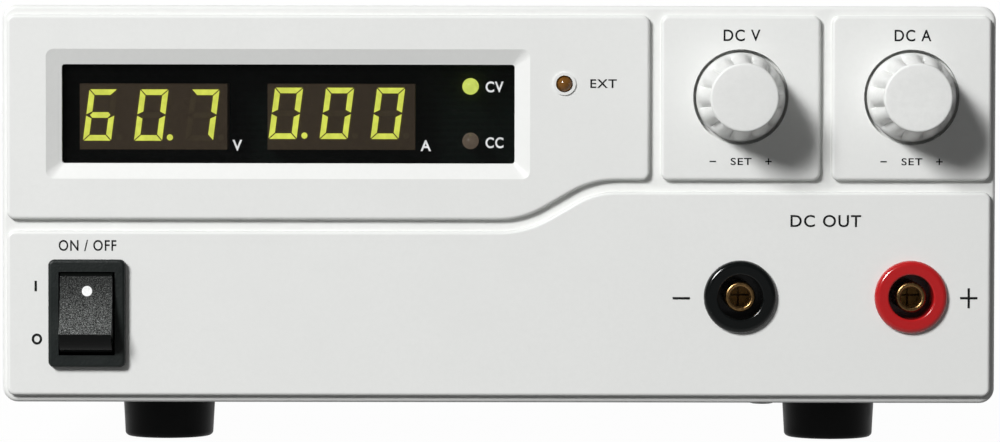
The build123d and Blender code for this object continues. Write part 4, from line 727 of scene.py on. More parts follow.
def turned(
    profile: Flat,
    x: float,
    z: float,
    steps: int = 64,
    swell: Optional[Callable[[float, float, float], float]] = None,
    materials: Optional[Callable[[float, float], int]] = None,
) -> Loose:
    """Turn a profile about a line along Y.

    Args:
        profile: Points of radius and depth; a radius of nought closes an end.
        x: The line's place.
        z: The line's place.
        steps: How many steps make one turn.
        swell: A function of angle, radius and depth that gives the changed radius.
        materials: A function of radius and depth that gives a face's material index.

    Returns:
        The mesh, with its faces pointing outwards.
    """
    mesh = bmesh.new()
    rings = []
    for radius, depth in profile:
        if radius < 1e-7:
            rings.append([mesh.verts.new((x, depth, z))])
            continue
        ring = []
        for step in range(steps):
            angle = 2 * math.pi * step / steps
            reach = swell(angle, radius, depth) if swell else radius
            ring.append(mesh.verts.new((x + reach * math.cos(angle), depth,
                                        z + reach * math.sin(angle))))
        rings.append(ring)
    for place, near, far in zip(profile, rings, rings[1:]):
        for step in range(steps):
            after = (step + 1) % steps
            corners = (
                near[step % len(near)], near[after % len(near)],
                far[after % len(far)], far[step % len(far)],
            )
            face = mesh.faces.new(list(dict.fromkeys(corners)))
            if materials:
                face.material_index = materials(*place)
    return outward(mesh)


def rounded(points: Flat, radius: float, steps: int = 5) -> Flat:
    """Round the inner corners of an open line by short arcs.

    Args:
        points: The line's corners.
        radius: How far from a corner its arc starts.
        steps: How many pieces an arc has.

    Returns:
        The points of the rounded line.
    """
    line = [points[0]]
    for before, corner, after in zip(points, points[1:], points[2:]):
        here = Vector(corner)
        back, ahead = Vector(before) - here, Vector(after) - here
        reach = min(radius, back.length / 2, ahead.length / 2)
        start, end = here + back.normalized() * reach, here + ahead.normalized() * reach
        for step in range(steps + 1):
            share = step / steps
            point = start.lerp(here, share).lerp(here.lerp(end, share), share)
            line.append((point.x, point.y))
    return line + [points[-1]]


def plate(outlines: Iterable[Flat], face: float, thickness: float) -> Loose:
    """Make thin plates of closed outlines in X and Z.

    Args:
        outlines: The outlines.
        face: The depth of the outer face.
        thickness: How far the plates go back from there; negative goes forward.

    Returns:
        One mesh with all the plates.
    """
    mesh = bmesh.new()
    for outline in outlines:
        front, back = (
            [mesh.verts.new((x, depth, z)) for x, z in outline]
            for depth in (face, face + thickness)
        )
        mesh.faces.new(front)
        mesh.faces.new(list(reversed(back)))
        bridge(mesh, front, back)
    return outward(mesh)


def circle(x: float, z: float, radius: float, steps: int = 24) -> Flat:
    """The outline of a round plate."""
    return [(x + radius * c, z + radius * s) for c, s in around(steps)]


def bar(x: float, z: float, width: float, height: float) -> Flat:
    """The outline of a straight plate about its middle."""
    w, h = width / 2, height / 2
    return [(x - w, z - h), (x + w, z - h), (x + w, z + h), (x - w, z + h)]


def plus(x: float, z: float, width: float, height: float, stroke: float) -> list[Flat]:
    """The outlines of a plus sign about its middle: a bar with an arm above and below.

    Args:
        x: The place of its middle.
        z: The place of its middle.
        width: Its whole width.
        height: Its whole height.
        stroke: How broad its lines are.

    Returns:
        Three outlines.
    """
    shift, arm = (height + stroke) / 4, (height - stroke) / 2
    arms = [bar(x, z + side * shift, stroke, arm) for side in (1, -1)]
    return [bar(x, z, width, stroke)] + arms


def pour(target: Loose, source: Loose) -> None:
    """Move one loose mesh into another.

    Args:
        target: The mesh that grows.
        source: The mesh that is used up.
    """
    shape = written(source, "poured")
    target.from_mesh(shape)
    bpy.data.meshes.remove(shape)


# Print


class Facing(Enum):
    """Which way a printed face looks."""

    FRONT = -1
    REAR = 1


@dataclass(frozen=True)
class Word:
    """A printed word, about its middle, with its height and width in metres."""

    text: str
    x: float
    z: float
    height: float
    width: float


@dataclass
class Print:
    """Words and marks printed on one flat face."""

    name: str
    finish: Finish
    slot: str
    face: float
    facing: Facing
    words: Sequence[Word] = ()
    marks: Sequence[Flat] = ()
    rings: Sequence[tuple[float, float, float, float]] = ()
    film: float = 0.03 * MM
    stroke: float = 0.32 * MM
    weight: float = 0.012
    spacing: float = 1.12
    curve_steps: int = 6
    ring_steps: int = 40

    def word_mesh(self, word: Word) -> Loose:
        """Shape one word from the built-in font, scaled to its printed size.

        Args:
            word: The word.

        Returns:
            The word as thin solid letters in place.
        """
        curve = bpy.data.curves.new("lettering", "FONT")
        curve.body, curve.resolution_u = word.text, self.curve_steps
        curve.offset, curve.space_character = self.weight, self.spacing
        holder = link("lettering", curve)
        flat = evaluated(holder)
        bpy.data.objects.remove(holder)
        bpy.data.curves.remove(curve)
        mesh = bmesh.new()
        mesh.from_mesh(flat)
        bpy.data.meshes.remove(flat)
        bmesh.ops.remove_doubles(mesh, verts=mesh.verts, dist=1e-5)
        across, up = ([v.co[i] for v in mesh.verts] for i in (0, 1))
        wide, tall = max(across) - min(across), max(up) - min(up)
        left, foot = (max(across) + min(across)) / 2, (max(up) + min(up)) / 2
        way = self.facing.value
        for vert in mesh.verts:
            side = (vert.co.x - left) / wide * word.width
            rise = (vert.co.y - foot) / tall * word.height
            vert.co = Vector((word.x - side * way, self.face, word.z + rise))
        grown = bmesh.ops.extrude_face_region(mesh, geom=list(mesh.faces))
        moved = [g for g in grown["geom"] if isinstance(g, bmesh.types.BMVert)]
        bmesh.ops.translate(mesh, verts=moved, vec=(0, way * self.film, 0))
        return outward(mesh)

    def ring_mesh(self, x: float, z: float, width: float, height: float) -> Loose:
        """Make an oval ring of the print's stroke.

        Args:
            x: The place of its middle.
            z: The place of its middle.
            width: Its outer width.
            height: Its outer height.

        Returns:
            The ring as a thin solid.
        """
        mesh = bmesh.new()
        top = self.face + self.facing.value * self.film
        corners = ((0, self.face), (self.stroke, self.face), (self.stroke, top), (0, top))
        rows = [
            [
                mesh.verts.new((x + (width / 2 - inset) * c, y, z + (height / 2 - inset) * s))
                for c, s in around(self.ring_steps)
            ]
            for inset, y in corners
        ]
        for near, far in zip(rows, rows[1:] + rows[:1]):
            bridge(mesh, near, far)
        return outward(mesh)

    def build(self) -> None:
        """Make all of the print as one piece."""
        mesh = bmesh.new()
        for word in self.words:
            pour(mesh, self.word_mesh(word))
        if self.marks:
            pour(mesh, plate(self.marks, self.face, self.facing.value * self.film))
        for ring in self.rings:
            pour(mesh, self.ring_mesh(*ring))
        add_piece(self.name, "case", mesh, [self.finish])


# Display


class Bar(Enum):
    """The seven bars of a digit."""

    TOP = "a"
    UPPER_RIGHT = "b"
    LOWER_RIGHT = "c"
    BOTTOM = "d"
    LOWER_LEFT = "e"
    UPPER_LEFT = "f"
    MIDDLE = "g"


LIT_BARS = {"6": "acdefg", "0": "abcdef", "7": "abc"}


@dataclass
class DigitModule:
    """One three-digit display module: its lit and unlit bars and points."""

    node: str
    reading: str
    shift: float
    rise: float
    pitch: float = 10.3 * MM
    width: float = 5.65 * MM
    height: float = 10.35 * MM
    stroke: float = 1.12 * MM
    gap: float = 0.16 * MM
    slant: float = 7.4
    point: float = 0.62 * MM
    point_shift: float = 3.75 * MM
    point_drop: float = 4.5 * MM
    lit_film: float = 0.12 * MM
    dark_film: float = 0.04 * MM

    def bar_shape(self, kind: Bar) -> Flat:
        """The outline of one bar about the middle of its digit.

        Args:
            kind: Which bar.

        Returns:
            The outline before it is slanted.
        """
        w, h, t, g = self.width / 2, self.height / 2, self.stroke, self.gap
        top = [(-w + g, h), (w - g, h), (w - t - g, h - t), (-w + t + g, h - t)]
        side = [(w, h - g), (w, g), (w - t, t / 2 + g), (w - t, h - t - g)]
        tip, end = w - t * 0.55 - g, w - t - g
        across = [(-tip, 0), (-end, t / 2), (end, t / 2), (tip, 0), (end, -t / 2), (-end, -t / 2)]
        shape, right, up = {
            Bar.TOP: (top, 1, 1),
            Bar.BOTTOM: (top, 1, -1),
            Bar.UPPER_RIGHT: (side, 1, 1),
            Bar.LOWER_RIGHT: (side, 1, -1),
            Bar.UPPER_LEFT: (side, -1, 1),
            Bar.LOWER_LEFT: (side, -1, -1),
            Bar.MIDDLE: (across, 1, 1),
        }[kind]
        return [(right * x, up * z) for x, z in shape]

    def build(self) -> None:
        """Make the lit and the unlit bars, seated on the module's face."""
        centre, face = middle(self.node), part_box(self.node)[0].y
        lean = math.tan(math.radians(self.slant))
        lit: list[Flat] = []
        dark: list[Flat] = []
        pointed = self.reading.index(".") - 1
        z = centre.z + self.rise
        for index, digit in enumerate(self.reading.replace(".", "")):
            x = centre.x + self.shift + (index - 1) * self.pitch
            for kind in Bar:
                outline = [(x + u + v * lean, z + v) for u, v in self.bar_shape(kind)]
                (lit if kind.value in LIT_BARS[digit] else dark).append(outline)
            dot = circle(x + self.point_shift, z - self.point_drop, self.point)
            (lit if index == pointed else dark).append(dot)
        for name, outlines, finish, film in (
            ("lit", lit, LIT_BAR, self.lit_film), ("dark", dark, DARK_BAR, self.dark_film),
        ):
            mesh = plate(outlines, face, -film)
            add_piece(f"{self.node}_{name}_bars", "case", mesh, [finish])


@dataclass
class Lamp:
    """A round lamp: flanged lens with a domed tip, in place of its plain solid."""

    name: str
    x: float
    z: float
    radius: float
    tip: float
    foot: float
    finish: Finish
    slot: str
    node: str
    flange: float = 1.0 * MM
    flare: float = 1.12
    bevel: float = 0.1 * MM
    rows: int = 9
    steps: int = 32

    def build(self) -> None:
        """Turn the lens from its dome to its flange."""
        r, start = self.radius, self.foot - self.flange
        angles = (math.pi / 2 * row / self.rows for row in range(self.rows + 1))
        dome = [(r * math.sin(a), self.tip + r * (1 - math.cos(a))) for a in angles]
        rim = r * self.flare
        profile = dome + [(r, start), (rim, start + self.bevel), (rim, self.foot), (0.0, self.foot)]
        mesh = turned(profile, self.x, self.z, self.steps)
        add_piece(self.name, "case", mesh, [self.finish], (self.node,))


@dataclass
class Display:
    """Everything behind and on the window."""

    size: float = 2.2 * MM
    unit_z: float = 61.8 * MM
    mode_x: float = -0.9 * MM
    mode_width: float = 3.6 * MM
    weight: float = 0.02

    def build(self) -> None:
        """Digits, lamps and the white print of the window."""
        DigitModule("voltage_display", "60.7", -0.45 * MM, 0.3 * MM).build()
        DigitModule("current_display", "0.00", -0.9 * MM, 0.7 * MM).build()
        low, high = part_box("mode_lamps")
        r = (high.x - low.x) / 2
        for name, z, finish in (
            ("upper_mode_lamp", high.z - r, LIT_LAMP), ("lower_mode_lamp", low.z + r, UNLIT_LAMP_PAINTED_GLOW),
        ):
            Lamp(name, (low.x + high.x) / 2, z, r, low.y, high.y, finish, "lamp_green",
                 "mode_lamps").build()
        low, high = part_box("remote_lamp")
        Lamp("remote_lamp_lens", (low.x + high.x) / 2, (low.z + high.z) / 2,
             (high.x - low.x) / 2, low.y, high.y, AMBER_LAMP_PAINTED_GLOW, "lamp_amber",
             "remote_lamp").build()
        words = [
            Word("V", -52.75 * MM, self.unit_z, self.size, 1.95 * MM),
            Word("A", -14.75 * MM, self.unit_z, self.size, 2.1 * MM),
            Word("CV", self.mode_x, 73.65 * MM, self.size, self.mode_width),
            Word("CC", self.mode_x, 62.4 * MM, self.size, self.mode_width),
        ]
        Print("window_print", WINDOW_INK_PAINTED_GLOW, "slider_white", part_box("display_window")[0].y,
              Facing.FRONT, words, weight=self.weight).build()


# Controls


@dataclass
class RotaryKnob:
    """A fluted push-and-turn knob that narrows to a plain round top."""

    name: str
    base_radius: float = 8.95 * MM
    shoulder_radius: float = 6.95 * MM
    edge: float = 0.55 * MM
    step: float = 0.12 * MM
    inset: float = 0.1 * MM
    skirt_start: float = 1.6 * MM
    bulge: float = 0.92
    lip: float = 1.5 * MM
    bevel: float = 0.2 * MM
    hollow_radius: float = 6.4 * MM
    hub_radius: float = 4.4 * MM
    bore_radius: float = 3.03 * MM
    hollow: float = 9.0 * MM
    lobes: int = 12
    flute: float = 1.1 * MM
    flute_from: float = 0.03
    flute_to: float = 0.9
    curve: float = 0.75
    drift: float = 1.3
    drifts: int = 5
    rows: int = 22
    steps: int = 240

    def outside(self, top: float, base: float) -> Flat:
        """The profile from the middle of the top to the rim at the base.

        Args:
            top: The depth of the top.
            base: The depth of the base.

        Returns:
            Points of radius and depth.
        """
        shoulder, start = self.shoulder_radius, top + self.skirt_start
        line: Flat = [(0.0, top)] + rounded([
            (shoulder * 0.5, top), (shoulder - self.edge * 0.4, top),
            (shoulder, top + self.edge * 1.4), (shoulder + self.step, start),
        ], self.edge)
        narrow, wide = shoulder + self.step, self.base_radius - self.inset
        for share in (row / self.rows for row in range(1, self.rows + 1)):
            depth = start + (base - self.lip - start) * share
            line.append((narrow + (wide - narrow) * share ** self.bulge, depth))
        return line + [
            (self.base_radius, base - self.lip * 0.75), (self.base_radius, base - self.bevel),
            (self.base_radius - self.bevel, base),
        ]

    def scoop(self, angle: float, share: float) -> float:
        """How deep the skirt is cut: nothing on a lobe, most where two meet.

        Args:
            angle: The angle about the knob's line.
            share: The place between the top, 0, and the base, 1.

        Returns:
            The depth of the cut.
        """
        if not self.flute_from < share < self.flute_to:
            return 0.0
        fade = min(1.0, (share - self.flute_from) / 0.1) * min(1.0, (self.flute_to - share) / 0.12)
        wave = abs(math.cos(self.lobes / 2 * angle)) ** self.curve
        return self.flute * fade * (1 - wave)

    def build(self) -> None:
        """Turn the knob with its hollow back, and scoop the flutes."""
        node = f"{self.name}_knob"
        low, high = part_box(node)
        x, z, top, base = (low.x + high.x) / 2, (low.z + high.z) / 2, low.y, high.y
        inner = base - self.hollow
        inside: Flat = [
            (self.hollow_radius, base), (self.hollow_radius, inner), (self.hub_radius, inner),
            (self.hub_radius, base), (self.bore_radius, base), (self.bore_radius, inner),
            (0.0, inner),
        ]

        def swell(angle: float, radius: float, depth: float) -> float:
            """The changed radius of the outside; the hollow stays round.

            Args:
                angle: The angle about the knob's line.
                radius: The plain radius.
                depth: The depth.

            Returns:
                The changed radius.
            """
            if radius <= self.hollow_radius and depth > top + self.edge:
                return radius
            return radius - self.scoop(angle, (depth - top) / (base - top))

        def which(radius: float, depth: float) -> int:
            """The plain top first, and the pearly skirt below its edge."""
            on_top = depth < top + self.edge and radius < self.shoulder_radius - self.edge * 0.3
            return 0 if on_top or radius <= self.hollow_radius else 1

        mesh = turned(self.outside(top, base) + inside, x, z, self.steps, swell, which)
        crease, painted_lobe_shade = (
            mesh.verts.layers.float.new(name) for name in (KNOB_SKIRT.crease, KNOB_SKIRT.painted_lobe_shade)
        )
        for vert in mesh.verts:
            angle = math.atan2(vert.co.z - z, vert.co.x - x)
            # Painted shade: how deep the flute is cut here, which darkens the creases.
            vert[crease] = self.scoop(angle, (vert.co.y - top) / (base - top)) / self.flute
            # Painted light and shade: one lighter and one darker band on each lobe.
            swing = self.drift * math.sin(self.drifts * angle)
            vert[painted_lobe_shade] = 0.5 + 0.5 * math.sin(self.lobes * angle + swing)
        add_piece(f"{node}_grip", f"{self.name}_dial", mesh,
                  [KNOB_TOP, KNOB_SKIRT], (node,), 28.0)


@dataclass
class SocketMouth:
    """The rounded mouth of a contact tube, and the four spring leaves in its bore."""

    name: str
    outer: float = 3.05 * MM
    radius: float = 2.02 * MM
    lip: float = 0.45 * MM
    slit: float = 0.4 * MM
    inset: float = 8.5 * MM
    leaf: float = 0.5 * MM
    steps: int = 8
    turn_steps: int = 48

    def mouth(self, centre: Vector, face: float) -> Loose:
        """Turn a half-round lip that sits on the front of the tube.

        Args:
            centre: The middle of the socket.
            face: The depth of the tube's front.

        Returns:
            The lip.
        """
        ring, half = (self.outer + self.radius) / 2, (self.outer - self.radius) / 2
        profile = [
            (ring + half * math.cos(a), face - self.lip * math.sin(a))
            for a in (math.pi * s / self.steps for s in range(self.steps + 1))
        ]
        foot = face + self.lip
        profile += [(self.radius, foot), (self.outer, foot), profile[0]]
        mesh = turned(profile, centre.x, centre.z, self.turn_steps)
        bmesh.ops.remove_doubles(mesh, verts=mesh.verts, dist=1e-7)
        return mesh

    def springs(self, centre: Vector, face: float) -> Loose:
        """Cut four quarters of a disc, apart by the slit.

        Args:
            centre: The middle of the socket.
            face: The depth of the tube's front.

        Returns:
            The four leaves.
        """
        half = self.slit / 2
        reach = math.sqrt(self.radius**2 - half**2)
        first, last = math.asin(half / self.radius), math.acos(half / self.radius)
        angles = [first + (last - first) * s / self.steps for s in range(1, self.steps)]
        arc = [(self.radius * math.cos(a), self.radius * math.sin(a)) for a in angles]
        quarter = [(half, half), (reach, half)] + arc + [(half, reach)]
        leaves = [
            [(centre.x + right * u, centre.z + up * v) for u, v in quarter]
            for right, up in ((1, 1), (-1, 1), (-1, -1), (1, -1))
        ]
        return plate(leaves, face + self.inset, self.leaf)

    def build(self) -> None:
        """Make both."""
        place = middle(f"{self.name}_socket"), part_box("socket_contacts")[0].y
        for kind, mesh, finish in (
            ("mouth", self.mouth(*place), CONTACT), ("springs", self.springs(*place), SPRING),
        ):
            add_piece(f"{self.name}_contact_{kind}", "case", mesh, [finish])


@dataclass
class RockerMark:
    """The white dot that lies on the dished face of the rocker."""

    rise: float = 4.6 * MM
    shift: float = 0.2 * MM
    radius: float = 1.04 * MM
    film: float = 0.04 * MM
    before: float = -0.2
    rings: int = 4
    steps: int = 28

    def build(self) -> None:
        """Drop a round patch on the rocker's own face."""
        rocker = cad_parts["power_rocker"]
        tree = BVHTree.FromPolygons(
            [tuple(v.co) for v in rocker.data.vertices],
            [tuple(p.vertices) for p in rocker.data.polygons],
        )
        switch = middle("power_switch_body")
        mesh = bmesh.new()

        def dropped(u: float, v: float, lift: float) -> bmesh.types.BMVert:
            """A point of the patch, dropped on the face from in front.

            Args:
                u: How far right of the dot's middle.
                v: How far above it.
                lift: How far before the face.

            Returns:
                The new point.
            """
            start = Vector((switch.x + self.shift + u, self.before, switch.z + self.rise + v))
            hit = tree.ray_cast(start, Vector((0, 1, 0)))[0]
            return mesh.verts.new((hit.x, hit.y - lift, hit.z))

        rims = []
        for lift in (self.film, -self.film):
            centre = dropped(0, 0, lift)
            rows = [
                [dropped(reach * c, reach * s, lift) for c, s in around(self.steps)]
                for reach in (self.radius * ring / self.rings for ring in range(1, self.rings + 1))
            ]
            for s, corner in enumerate(rows[0]):
                mesh.faces.new((centre, corner, rows[0][(s + 1) % self.steps]))
            for near, far in zip(rows, rows[1:]):
                bridge(mesh, near, far)
            rims.append(rows[-1])
        bridge(mesh, *rims)
        add_piece("rocker_dot", "power_rocker", outward(mesh), [WHITE_INK])


@dataclass
class FrontPrint:
    """The dark print on the pads, in the places of a common layout."""

    face: float = -111.0 * MM
    label: float = 2.35 * MM
    label_width: float = 7.4 * MM
    label_rise: float = 12.4 * MM
    small: float = 1.45 * MM
    small_width: float = 4.2 * MM
    small_drop: float = 12.95 * MM
    sign: float = 1.3 * MM
    sign_height: float = 1.31 * MM
    sign_stroke: float = 0.25 * MM
    sign_shift: float = 5.6 * MM
    pole: float = 0.48 * MM
    pole_width: float = 3.5 * MM
    pole_height: float = 4.02 * MM
    minus_shift: float = -11.85 * MM
    minus_drop: float = 0.3 * MM
    plus_shift: float = 11.65 * MM
    plus_drop: float = 0.2 * MM
    on_mark: tuple[float, float] = (-93.19 * MM, 33.46 * MM)
    off_mark: tuple[float, float] = (-92.97 * MM, 22.77 * MM)
    mark_width: float = 2.1 * MM
    off_height: float = 2.25 * MM

    def build(self) -> None:
        """Plain generic words, the switch marks and the poles of the sockets."""
        left, right = middle("voltage_knob"), middle("current_knob")
        socket, switch = middle("black_socket"), middle("power_switch_body")
        words = [
            Word("ON / OFF", switch.x + 0.05 * MM, 41.65 * MM, 2.2 * MM, 11.6 * MM),
            Word("EXT", 21.0 * MM, 74.35 * MM, 1.75 * MM, 5.3 * MM),
            Word("DC OUT", (left.x + right.x) / 2, 46.8 * MM, 2.45 * MM, 14.2 * MM),
        ]
        marks = [
            bar(*self.on_mark, self.pole, self.mark_width),
            bar(left.x + self.minus_shift, socket.z - self.minus_drop, self.pole_width, self.pole),
            *plus(right.x + self.plus_shift, socket.z - self.plus_drop, self.pole_width,
                  self.pole_height, self.pole),
        ]
        for knob, text in ((left, "DC V"), (right, "DC A")):
            z = knob.z - self.small_drop
            words += [
                Word(text, knob.x + 0.2 * MM, knob.z + self.label_rise, self.label,
                     self.label_width),
                Word("SET", knob.x + 0.1 * MM, z, self.small, self.small_width),
            ]
            marks.append(bar(knob.x - self.sign_shift, z, self.sign, self.sign_stroke))
            marks += plus(knob.x + self.sign_shift, z, self.sign, self.sign_height,
                          self.sign_stroke)
        rings = [(*self.off_mark, self.mark_width, self.off_height)]
        Print("front_print", DARK_INK, "black_plastic", self.face, Facing.FRONT, words, marks,
              rings, stroke=self.pole).build()


# Small hardware


class Drive(Enum):
    """The head of a screw."""

    PAN = "pan"
    SUNK = "sunk"


@dataclass
class ScrewRow:
    """Screws of one kind with a cross recess, set by a node tree at the given places."""

    name: str
    node: str
    drive: Drive
    head: float
    height: float
    length: float
    places: list[tuple[Vector, Vector]]
    shank: float = 1.5 * MM
    finish: Finish = BLACK_SCREW
    slot: str = "black_screw"
    flat: float = 0.45
    rim: float = 0.25
    point: float = 0.7
    point_length: float = 0.6
    arm: float = 0.52
    arm_half: float = 0.13
    steps: int = 32
    arc_steps: int = 7
    seed: int = 7

    def blank(self) -> bpy.types.Object:
        """One screw along +Z, its seat at the origin and its shank below.

        Returns:
            An object to be set at each place.
        """
        line = [(0.0, -self.length), (self.shank * self.point, -self.length),
                (self.shank, -self.length + self.shank * self.point_length)]
        if self.drive is Drive.PAN:
            top, dome, rise = self.height, 1 - self.flat, 1 - self.rim
            line += [(self.shank, 0.0), (self.head, 0.0)] + [
                (self.head * (self.flat + dome * math.cos(a)),
                 self.height * (self.rim + rise * math.sin(a)))
                for a in (math.pi / 2 * s / self.arc_steps for s in range(self.arc_steps))
            ]
        else:
            top = 0.0
            line += [(self.shank, -self.height), (self.head, 0.0)]
        line += [(self.head * self.flat, top), (0.0, top)]
        mesh = turned([(r, -y) for r, y in line], 0, 0, self.steps)
        upright = Matrix.Rotation(math.radians(-90), 4, "X")
        bmesh.ops.transform(mesh, matrix=upright, verts=mesh.verts)
        return link("screw_blank", written(mesh, "screw_blank"))

    def recess(self, top: float) -> bpy.types.Object:
        """The cross that is cut from the head, narrower at its foot.

        Args:
            top: The height of the head's top.

        Returns:
            An object to cut with.
        """
        mesh = bmesh.new()
        outline = bar(0, 0, 2 * self.head * self.arm, 2 * self.head * self.arm_half)
        for turn in (1, -1):
            upper, lower = (
                [mesh.verts.new((*(share * c for c in corner[::turn]), depth)) for corner in outline]
                for depth, share in ((top + 0.2 * MM, 1.05), (top - self.head * 0.45, 0.45))
            )
            mesh.faces.new(upper)
            mesh.faces.new(list(reversed(lower)))
            bridge(mesh, upper, lower)
        return link("screw_recess", written(outward(mesh), "screw_recess"))

    def tree(self) -> bpy.types.NodeTree:
        """The node tree that sets one screw on every point, turned along its arrow.

        Returns:
            The tree, with the screw, its turn and its material as inputs.
        """
        tree = bpy.data.node_groups.new("screw_row", "GeometryNodeTree")
        for name, way, kind in (
            ("Geometry", "INPUT", "Geometry"), ("Screw", "INPUT", "Object"),
            ("Turn Spread", "INPUT", "Float"), ("Seed", "INPUT", "Int"),
            ("Finish", "INPUT", "Material"), ("Geometry", "OUTPUT", "Geometry"),
        ):
            tree.interface.new_socket(name, in_out=way, socket_type=f"NodeSocket{kind}")
        nodes = Nodes(tree)
        given = nodes.add("NodeGroupInput").outputs
        points = nodes.add("GeometryNodeMeshToPoints", {"Mesh": given["Geometry"]})
        arrow = nodes.add("GeometryNodeInputNamedAttribute", {"Name": "arrow"},
                          data_type="FLOAT_VECTOR")
        align = nodes.add("FunctionNodeAlignRotationToVector",
                          {"Vector": arrow.outputs["Attribute"]}, axis="Z")
        chance = nodes.add("FunctionNodeRandomValue",
                           {3: given["Turn Spread"], "Seed": given["Seed"]})
        spin = nodes.add("FunctionNodeAxisAngleToRotation",
                         {"Axis": (0, 0, 1), "Angle": chance.outputs[1]})
        local = nodes.add("FunctionNodeRotateRotation", {
            "Rotation": align.outputs[0], "Rotate By": spin.outputs[0]}, rotation_space="LOCAL")
        screw = nodes.add("GeometryNodeObjectInfo", {"Object": given["Screw"]})
        copies = nodes.add("GeometryNodeInstanceOnPoints", {
            "Points": points.outputs[0], "Instance": screw.outputs["Geometry"],
            "Rotation": local.outputs[0]})
        real = nodes.add("GeometryNodeRealizeInstances", {"Geometry": copies.outputs[0]})
        paintwork = nodes.add("GeometryNodeSetMaterial", {
            "Geometry": real.outputs[0], "Material": given["Finish"]})
        nodes.add("NodeGroupOutput", {"Geometry": paintwork.outputs[0]})
        return tree

    def build(self) -> None:
        """Cut one screw, set it everywhere, and keep the result as a plain mesh."""
        blank = self.blank()
        cross = self.recess(self.height if self.drive is Drive.PAN else 0.0)
        cut = blank.modifiers.new("recess", "BOOLEAN")
        cut.object, cut.operation, cut.solver, cut.use_self = cross, "DIFFERENCE", "EXACT", True
        shape = evaluated(blank)
        blank.modifiers.clear()
        blank.data = shape
        points = bpy.data.meshes.new("screw_places")
        points.from_pydata([tuple(place) for place, _ in self.places], [], [])
        arrows = points.attributes.new("arrow", "FLOAT_VECTOR", "POINT")
        arrows.data.foreach_set("vector", [c for _, way in self.places for c in way])
        holder = link("screw_places", points)
        modifier = holder.modifiers.new("screws", "NODES")
        modifier.node_group = self.tree()
        values = {"Screw": blank, "Turn Spread": math.pi / 2, "Seed": self.seed,
                  "Finish": self.finish.material()}
        for item in modifier.node_group.interface.items_tree:
            if item.in_out == "INPUT" and item.name in values:
                modifier[item.identifier] = values[item.name]
        mesh = evaluated(holder)
        for spare in (holder, blank, cross):
            bpy.data.objects.remove(spare)
        add_piece(self.name, "case", mesh, [self.finish], (self.node,), 30.0)


@dataclass
class Hardware:
    """The screws of the cover and of the fan."""

    side: float = 99.5 * MM
    head: float = 2.9 * MM
    sunk: float = 1.2 * MM
    sunk_length: float = 7.0 * MM
    pan: float = 1.8 * MM

    def build(self) -> None:
        """Side and rear screws, each in the place of its plain solid."""
        low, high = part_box("cover_screws")
        z = (low.z + high.z) / 2
        places = [
            (Vector((way * self.side, y, z)), Vector((way, 0, 0)))
            for way in (-1, 1) for y in (low.y + self.head, high.y - self.head)
        ]
        ScrewRow("cover_screw_row", "cover_screws", Drive.SUNK, self.head, self.sunk,
                 self.sunk_length, places).build()
        low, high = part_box("fan_screws")
        seat = high.y - self.pan
        places = [
            (Vector((x, seat, z)), Vector((0, 1, 0)))
            for x in (low.x + self.head, high.x - self.head)
            for z in (low.z + self.head, high.z - self.head)
        ]
        ScrewRow("fan_screw_row", "fan_screws", Drive.PAN, self.head, self.pan, seat - low.y,
                 places).build()


@dataclass
class RearPrint:
    """The two pole marks beside the output posts."""

    face: float = 104.0 * MM
    rise: float = 11.5 * MM
    size: float = 3.6 * MM
    stroke: float = 0.6 * MM

    def build(self) -> None:
        """A plus over the red post and a minus over the black one."""
        red, black = middle("red_post_base"), middle("black_post_base")
        z = red.z + self.rise
        marks = plus(red.x, z, self.size, self.size, self.stroke)
        marks.append(bar(black.x, z, self.size, self.stroke))
        Print("rear_print", WHITE_INK, "slider_white", self.face, Facing.REAR, [], marks).build()


# Studio


